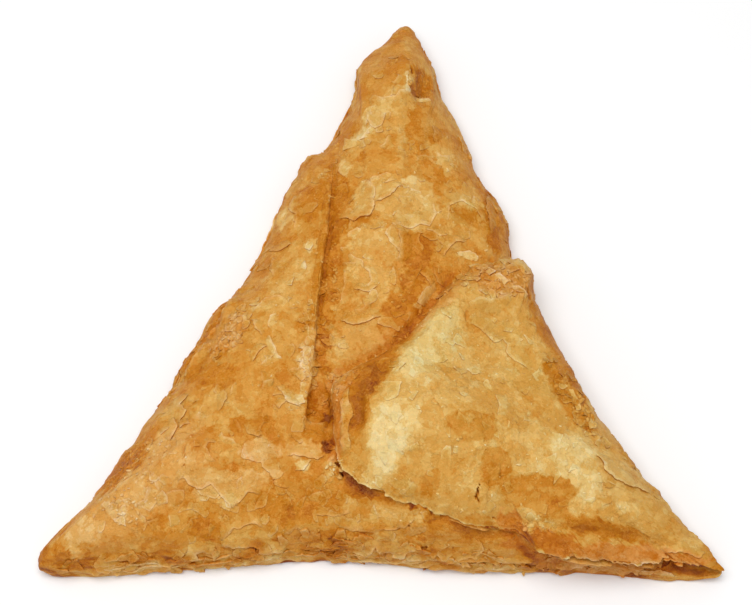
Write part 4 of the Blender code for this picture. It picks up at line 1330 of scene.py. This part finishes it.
# How far each reaches in below the flap, in how many rows of points, how many points one side
# of the outline has, over how much of a side it draws in at its ends and how far, how much it
# rises inward, its least height above the table, and its thickness
UNDER_DEPTH = 4.0
UNDER_ROWS = 6
UNDER_PIECES = 220
UNDER_END = 0.06
UNDER_DRAWN_IN = 1.0
UNDER_RISE = 0.5
UNDER_LOWEST = 0.5
UNDER_THICKNESS = 0.3
# Its browning varies: by how much, and in what size
UNDER_BAKE_DRIFT = (0.15, 2.5)


def resampled(points, spacing):
    """A line of points as evenly spaced points."""
    line = np.array(points, float)
    length = lengths_along(line)[-1]
    return points_along(line, np.linspace(0.0, length, max(int(length / spacing), 3) + 1))


def torn(line, amount, seed):
    """A line of points made ragged."""
    wobble = [flat_noise(line[:, 0], line[:, 1], LEAF_TEARS, seed + n) for n in (0, 1)]
    return line + amount * np.column_stack(wobble)


def inside_outline(points, edge):
    """Which points lie inside a closed outline."""
    inside = np.zeros(len(points), bool)
    for start, end in zip(edge, np.roll(edge, -1, axis=0)):
        spans = (start[1] > points[:, 1]) != (end[1] > points[:, 1])
        rise = end[1] - start[1] if end[1] != start[1] else 1.0
        cross = start[0] + (points[:, 1] - start[1]) * (end[0] - start[0]) / rise
        inside ^= spans & (points[:, 0] < cross)
    return inside


def fill(edge, spacing, draw):
    """Points on and inside a closed outline, and the triangles between them."""
    low, high = edge.min(axis=0), edge.max(axis=0)
    grid = np.mgrid[low[0]:high[0]:spacing, low[1]:high[1]:spacing].reshape(2, -1).T
    grid = grid + draw.uniform(-0.25, 0.25, grid.shape) * spacing
    grid = grid[inside_outline(grid, edge)]
    if len(grid):
        gap = np.linalg.norm(grid[:, None] - edge[None], axis=2).min(axis=1)
        grid = grid[gap > spacing * 0.5]
    spots = [Vector(spot) for spot in np.vstack([edge, grid]).tolist()]
    made = delaunay_2d_cdt(spots, [], [list(range(len(edge)))], 1, 1e-4)
    return np.array([tuple(spot) for spot in made[0]]), np.array(made[2])


class Heap:
    """Gathers the closed shells of one piece, with the values that the crust material reads."""

    def __init__(self):
        self.vertices, self.faces, self.values = [], [], []
        self.count = 0

    def add(self, vertices, faces, bake, tint):
        """Adds one shell."""
        self.vertices.append(vertices)
        self.faces.append(faces + self.count)
        self.values.append(np.column_stack([bake, tint]) + np.zeros((len(vertices), 2)))
        self.count += len(vertices)

    def add_sheet(self, high, low, faces, bake, tint, free=1.0):
        """Adds a thin shell between an upper and a lower side, pale along its free rim, partly as
        painted highlight, and darkened underneath as painted shade.
        """
        count = len(high)
        ways = np.vstack([faces[:, [0, 1]], faces[:, [1, 2]], faces[:, [2, 0]]])
        paired = np.isin(ways[:, 0] * count + ways[:, 1], ways[:, 1] * count + ways[:, 0])
        start, end = ways[~paired].T
        walls = np.vstack([np.column_stack([end, start, start + count]),
                           np.column_stack([end, start + count, end + count])])
        pale = np.zeros(count)
        pale[start] = (free + 0.0 * bake)[start]
        self.add(np.vstack([high, low]), np.vstack([faces, faces[:, ::-1] + count, walls]),
                 # The free rim is paler and pinker, partly as painted highlight, and the underside
                 # browner as painted shade
                 np.concatenate([bake - LEAF_RIM_PALE_AND_HIGHLIGHT * pale, bake + LEAF_UNDER_SHADE]),
                 np.concatenate([tint + LEAF_RIM_PALE_AND_HIGHLIGHT_TINT * pale, tint]))

    def make(self, name, material):
        """Makes the piece itself."""
        bake, tint = np.vstack(self.values).T
        attributes = {"bake": bake, "tint": tint, "blistered": 0.0 * bake}
        new_mesh(name, np.vstack(self.vertices), np.vstack(self.faces), material, attributes)


class Ground:
    """The finished crust, for flakes and crumbs to land on."""

    def __init__(self, vertices, faces, bake, tint):
        self.tree = BVHTree.FromPolygons(vertices.tolist(), faces.tolist())
        self.bake = bake[faces].mean(axis=1)
        self.tint = tint[faces].mean(axis=1)

    def land(self, view, spots):
        """Where a view's spots meet the crust, with its bake and tint, or None if one misses."""
        origin, right, up, inward_way = view
        starts = origin + spots[:, :1] * right + spots[:, 1:] * up - VIEW_DISTANCE * inward_way
        places, hit_faces = [], []
        for start in starts.tolist():
            place, _, face, _ = self.tree.ray_cast(Vector(start), Vector(inward_way))
            if place is None:
                return None
            places.append(tuple(place))
            hit_faces.append(face)
        return np.array(places), self.bake[hit_faces], self.tint[hit_faces]


def lay_leaf(heap, ground, view, filled, free, rise, change, steepest=99.0, stiff=0.0, gap=0.0):
    """Lays one thin leaf on the crust.

    filled is its points and faces in the view. free is 1 where it stands rise above the crust
    and 0 where it is joined to it. A leaf is left out where the crust under it is too steep,
    and a stiff one does not follow the crust's small relief. gap is how far its underside
    comes off the crust with it.
    """
    spots, faces = filled
    landed = ground.land(view, spots)
    if landed is None:
        return
    places, bake, tint = landed
    outward_way = -view[3]
    level = places @ outward_way
    if np.ptp(level) > steepest:
        return
    base = np.column_stack([spots, np.ones(len(spots))])
    plane = base @ np.linalg.lstsq(base, level, rcond=None)[0]
    buried = (LEAF + LEAF_BURY) * (1.0 - smooth_step(free, *LEAF_JOINED))
    lift = rise * free ** LEAF_CURL - buried
    lift += stiff * (plane - level) + rise * noise_sum(places, LEAF_WAVES)
    low = places + outward_way * (gap * np.maximum(lift, 0.0) - LEAF_FOOT)[:, None]
    high = places + outward_way * (lift + LEAF)[:, None]
    low = np.where((lift + LEAF < 0.0)[:, None], high - outward_way * LEAF_FOOT, low)
    bake = LEAF_PATTERN * bake + (1.0 - LEAF_PATTERN) * bake.mean() + change
    heap.add_sheet(high, low, faces, bake, tint, free)


def sheet_ends(share, fade):
    """1 along a sheet's middle, falling to 0 at both ends over fade of its length."""
    return smooth_step(share, 0.0, fade) * (1.0 - smooth_step(share, 1.0 - fade, 1.0))


def sheet_width(back, share):
    """How far a sheet reaches back from its free edge at a share along it."""
    return back * np.sqrt(np.sin(np.pi * np.clip(share, 0.02, 0.98)))


def lay_sheet(heap, ground, view, line, rise, back, change, seed, steepest=99.0):
    """Lays a sheet whose torn free edge follows a line, on the line's left."""
    draw = np.random.default_rng(seed)
    middle = resampled(line, SHEET_SPACING)
    share = np.linspace(0.0, 1.0, len(middle))
    way = np.array(line[-1], float) - np.array(line[0], float)
    local = np.gradient(middle, axis=0)
    window = np.ones(min(SHEET_EVENED, len(middle)))
    local = np.column_stack([np.convolve(local[:, axis], window, "same") for axis in range(2)])
    local += SHEET_STRAIGHTNESS * way / np.linalg.norm(way)
    local /= np.linalg.norm(local, axis=1)[:, None]
    leftward = np.column_stack([-local[:, 1], local[:, 0]])
    rear = middle + leftward * sheet_width(back, share)[:, None]
    ragged = torn(middle, min(rise + 0.05, SHEET_TEAR), seed) - middle
    ends = sheet_ends(share, SHEET_TEAR_FADE)[:, None]
    front = middle + ragged * (SHEET_END_TEAR + (1.0 - SHEET_END_TEAR) * ends)
    spots, faces = fill(np.vstack([front, rear[-2:0:-2]]), SHEET_INNER_SPACING, draw)
    distance, along = line_places(spots[:, 0], spots[:, 1], middle)
    free = np.clip(1.0 - distance / sheet_width(back, along), 0.0, 1.0)
    free = np.minimum(free, sheet_ends(along, SHEET_RISE_FADE))
    lay_leaf(heap, ground, view, (spots, faces), free, rise, change, steepest)


def lay_flake(heap, ground, view, corners, way, rise, change, seed, steepest):
    """Lays one flake with an outline of its own, free on the side that way points to."""
    draw = np.random.default_rng(seed)
    corners = np.array(corners, float)
    size = np.ptp(corners, axis=0).max()
    spacing = float(np.clip(size * FLAKE_SPACING, *FLAKE_SPACING_LIMITS))
    edge = resampled(np.vstack([corners, corners[:1]]), spacing)[:-1]
    inner_spacing = max(size * FLAKE_INNER_SPACING, FLAKE_LEAST_INNER_SPACING)
    spots, faces = fill(torn(edge, FLAKE_TEAR * size, seed), inner_spacing, draw)
    angle = math.radians(way)
    along = spots @ np.array([math.cos(angle), math.sin(angle)])
    free = (along - along.min()) / np.ptp(along)
    lay_leaf(heap, ground, view, (spots, faces), free, rise, change, steepest,
             FLAKE_STIFFNESS, draw.choice(FLAKE_GAPS))


def in_field(draw, middle_x, middle_y, half_length, half_width, turn):
    """A random spot in an oval."""
    reach = math.sqrt(draw.random())
    angle = draw.uniform(0.0, 2.0 * math.pi)
    spot = turned(half_length * reach * math.cos(angle), half_width * reach * math.sin(angle),
                  math.radians(turn))
    return spot + (middle_x, middle_y)


def scatter_flakes(heap, ground, draw):
    """Lays the scattered flakes."""
    for view, *field, count, radius, rise in FLAKE_FIELDS:
        for _ in range(count):
            spot = in_field(draw, *field)
            size = radius * draw.lognormal(0.0, FLAKE_SPREAD)
            turns = np.sort(draw.uniform(0.0, 2.0 * math.pi, draw.integers(*FLAKE_CORNERS)))
            lean = draw.uniform(0.0, math.pi)
            across = size * draw.uniform(*FLAKE_WIDTHS) * np.sin(turns)
            corners = spot + turned(size * np.cos(turns), across, lean)
            lay_flake(heap, ground, view, corners, draw.uniform(0.0, 360.0),
                      rise * draw.uniform(*FLAKE_RISES), draw.uniform(*FLAKE_CHANGES),
                      int(draw.integers(*SEEDS)), FLAKE_STEEPEST * size)


def scatter_sheets(heap, ground, draw):
    """Lays the scattered small sheets, each along a line that winds at random."""
    for *field, count in SHEET_FIELDS:
        for _ in range(count):
            line = [in_field(draw, *field)]
            heading = draw.uniform(0.0, 2.0 * math.pi)
            for _ in range(draw.integers(*SMALL_SHEET_COUNTS)):
                heading += draw.uniform(*SMALL_SHEET_BENDS)
                step = turned(draw.uniform(*SMALL_SHEET_STEPS), 0.0, heading)
                line.append(line[-1] + step)
            lay_sheet(heap, ground, TOP, line, draw.uniform(*SMALL_SHEET_RISES),
                      draw.uniform(*SMALL_SHEET_BACKS), draw.uniform(*SMALL_SHEET_CHANGES),
                      int(draw.integers(*SEEDS)), SMALL_SHEET_STEEPEST)


def scatter_strips(heap, ground, draw):
    """Lays the torn strips along the side walls, some free above and some free below."""
    for view, length, count in WALL_STRIPS:
        for _ in range(count):
            start = draw.uniform(WALL_END, length - 2.0 * WALL_END)
            reach = min(draw.uniform(*STRIP_LENGTHS), length - WALL_END - start)
            level = draw.uniform(*STRIP_LEVELS)
            levels = level + draw.uniform(*STRIP_WANDER, STRIP_POINTS)
            shares = np.linspace(0.0, 1.0, STRIP_POINTS)
            line = np.column_stack([start + reach * shares, levels])
            if draw.random() < FREE_ABOVE:
                line = line[::-1]
            lay_sheet(heap, ground, view, line, draw.uniform(*STRIP_RISES),
                      draw.uniform(*STRIP_BACKS), draw.uniform(*STRIP_CHANGES),
                      int(draw.integers(*SEEDS)))


def make_flakes(ground, crust):
    """Thin leaves that stand up from the crust: sheets, flakes and torn strips on the walls."""
    draw = np.random.default_rng(5)
    heap = Heap()
    for number, (line, rise, back) in enumerate(SHEETS):
        lay_sheet(heap, ground, TOP, line, rise, back, SHEET_CHANGE, 100 + number)
    lay_sheet(heap, ground, TOP, *PANEL_SHEET, 99)
    for number, sheet in enumerate(BROW_SHEETS):
        lay_sheet(heap, ground, BROW, *sheet, 160 + number)
    for number, flake in enumerate(NAMED_FLAKES):
        lay_flake(heap, ground, TOP, *flake, 200 + number, NAMED_STEEPEST)
    scatter_flakes(heap, ground, draw)
    scatter_sheets(heap, ground, draw)
    scatter_strips(heap, ground, draw)
    heap.make("flakes", crust)


def make_under_layers(crust):
    """The edges of the layers below the flap's outermost sheet."""
    heap = Heap()
    for number, (first, last, out, drop, bake) in enumerate(UNDER_LAYERS):
        place = np.linspace(first, last, int((last - first) * UNDER_PIECES))
        ends = smooth_step(place, first, first + UNDER_END)
        ends *= 1.0 - smooth_step(place, last - UNDER_END, last)
        reach = (out + UNDER_DRAWN_IN) * ends - UNDER_DRAWN_IN
        reach += rim_noise(place, UNDER_EDGES, number)
        level = flap_edge_level(place) - drop + rim_noise(place, UNDER_WAVES, number)
        edge = outline(FLAP_SIDES, place)
        rows = [np.column_stack([inward(edge, FLAP_CENTRE, FLAP_REACH, UNDER_DEPTH * share - reach),
                                 level + UNDER_RISE * share])
                for share in np.linspace(0.0, 1.0, UNDER_ROWS)]
        high = np.stack(rows, axis=1).reshape(-1, 3)
        high[:, 2] = np.maximum(high[:, 2], UNDER_LOWEST)
        start = np.arange(len(place) - 1)[:, None] * UNDER_ROWS + np.arange(UNDER_ROWS - 1)
        start = start.ravel()
        beyond = start + UNDER_ROWS
        faces = np.vstack([np.column_stack([start, beyond, start + 1]),
                           np.column_stack([start + 1, beyond, beyond + 1])])
        drift, drift_size = UNDER_BAKE_DRIFT
        bake = bake + drift * noise(high, drift_size, number + 90)
        heap.add_sheet(high, high - (0.0, 0.0, UNDER_THICKNESS), faces, bake, 0.0 * bake)
    heap.make("under_layers", crust)


def make_crumbs(ground, crust):
    """Small broken crumbs of crust, lying in clusters."""
    shape = bmesh.new()
    bmesh.ops.create_icosphere(shape, subdivisions=2, radius=1.0)
    ball = np.array([vertex.co[:] for vertex in shape.verts])
    faces = np.array([[vertex.index for vertex in face.verts] for face in shape.faces])
    shape.free()
    draw = np.random.default_rng(9)
    heap = Heap()
    for *field, count, size in CRUMB_FIELDS:
        for _ in range(count):
            landed = ground.land(TOP, in_field(draw, *field)[None])
            if landed is None:
                continue
            place, bake, tint = landed
            radius = 0.5 * size * draw.lognormal(0.0, CRUMB_SPREAD)
            turn = draw.uniform(0.0, math.pi)
            spots = ball * radius * (draw.uniform(*CRUMB_LENGTHS), draw.uniform(*CRUMB_WIDTHS),
                                     CRUMB_HEIGHT)
            bumps = noise(ball + draw.uniform(0.0, 50.0, 3), CRUMB_BUMP_SIZE)
            spots *= 1.0 + CRUMB_UNEVENNESS * bumps[:, None]
            spots[:, :2] = turned(spots[:, 0], spots[:, 1], turn)
            heap.add(spots + place + (0.0, 0.0, CRUMB_LIFT * radius), faces,
                     bake + draw.uniform(*CRUMB_CHANGES), tint + CRUMB_TINT)
    heap.make("crumbs", crust)


# --------------------------------------------------------------------------- pieces

def make_body(crust):
    """The folded parcel and the flap over it, and the ground that they make for flakes."""
    grounds = []
    total = 0
    free_edge = outline(FLAP_SIDES, np.linspace(*SHADOW_GAP_PLACES, 80))
    for name, made, *looks in (
            ("pastry_body", parcel_layer(), PARCEL_BAKE, PARCEL_TINT, PARCEL_PATCHES, 1.0, 0),
            ("right_flap", flap_layer(), FLAP_BAKE, FLAP_TINT, FLAP_PATCHES, 0.6, 7)):
        vertices, faces, layout, nearness = made
        shaped, attributes = finish_surface(vertices, faces, nearness, *looks)
        if name == "pastry_body":
            # Painted shadow: the parcel is browner along the flap's free edge, where the gap under
            # it is
            distance = line_places(shaped[:, 0], shaped[:, 1], free_edge)[0]
            attributes["bake"] += GAP_PAINTED_SHADOW * np.exp(-((distance / GAP_SHADOW_WIDTH) ** 2))
        new_mesh(name, shaped, faces, crust, attributes, layout)
        grounds.append((shaped, faces + total, attributes["bake"], attributes["tint"]))
        total += len(shaped)
    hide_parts("samosa")
    return Ground(*[np.concatenate(parts) for parts in zip(*grounds)])


# --------------------------------------------------------------------------- stage

CAMERA_TARGET = (-0.7, -2.7, 5.0)
CAMERA_ELEVATION = 66.0
CAMERA_DISTANCE = 400.0
CAMERA_LENS = 100.0
# Metres, for the floor alone
FLOOR_SIZE = 6.0
FLOOR_COLOUR = (0.90, 0.90, 0.90, 1.0)
FLOOR_ROUGHNESS = 0.8
# The light from all round, and the place, size and power of the lamp overhead
STUDIO_COLOUR = (1.0, 1.0, 1.0, 1.0)
STUDIO_STRENGTH = 0.52
OVERHEAD = ((-60.0, -50.0, 560.0), 380.0, 2.4)


def make_camera():
    """A camera that looks down on the front side."""
    angle = math.radians(CAMERA_ELEVATION)
    back = Vector((0.0, -math.cos(angle), math.sin(angle)))
    data = bpy.data.cameras.new("camera")
    data.lens = CAMERA_LENS
    camera = bpy.data.objects.new("camera", data)
    camera.location = (Vector(CAMERA_TARGET) + back * CAMERA_DISTANCE) * MM
    camera.rotation_euler = (math.pi / 2.0 - angle, 0.0, 0.0)
    data.clip_start = 0.01
    data.clip_end = 20.0
    bpy.context.scene.collection.objects.link(camera)
    bpy.context.scene.camera = camera


def make_light(name, place, size, power):
    """A soft square light at a place in millimetres, aimed at the samosa."""
    data = bpy.data.lights.new(name, "AREA")
    data.size = size * MM
    data.energy = power
    light = bpy.data.objects.new(name, data)
    light.location = Vector(place) * MM
    light.rotation_euler = (-Vector(place)).to_track_quat("-Z", "Y").to_euler()
    bpy.context.scene.collection.objects.link(light)


def make_stage():
    """A plain pale floor under soft studio light."""
    bpy.ops.mesh.primitive_plane_add(size=FLOOR_SIZE)
    floor = bpy.context.object
    floor.name = "floor"
    material = bpy.data.materials.new("pale floor")
    material.use_nodes = True
    shader = material.node_tree.nodes["Principled BSDF"]
    shader.inputs["Base Color"].default_value = FLOOR_COLOUR
    shader.inputs["Roughness"].default_value = FLOOR_ROUGHNESS
    floor.data.materials.append(material)
    world = bpy.data.worlds.new("studio")
    world.use_nodes = True
    background = world.node_tree.nodes["Background"]
    background.inputs["Color"].default_value = STUDIO_COLOUR
    background.inputs["Strength"].default_value = STUDIO_STRENGTH
    bpy.context.scene.world = world
    make_light("overhead", *OVERHEAD)
    bpy.context.scene.view_settings.view_transform = "Standard"


def main():
    """The samosa on its stage."""
    make_camera()
    make_stage()
    crust = crust_material("crust", CRUST_ROUGHNESS)
    ground = make_body(crust)
    make_flakes(ground, crust)
    make_under_layers(crust)
    make_crumbs(ground, crust)


main()
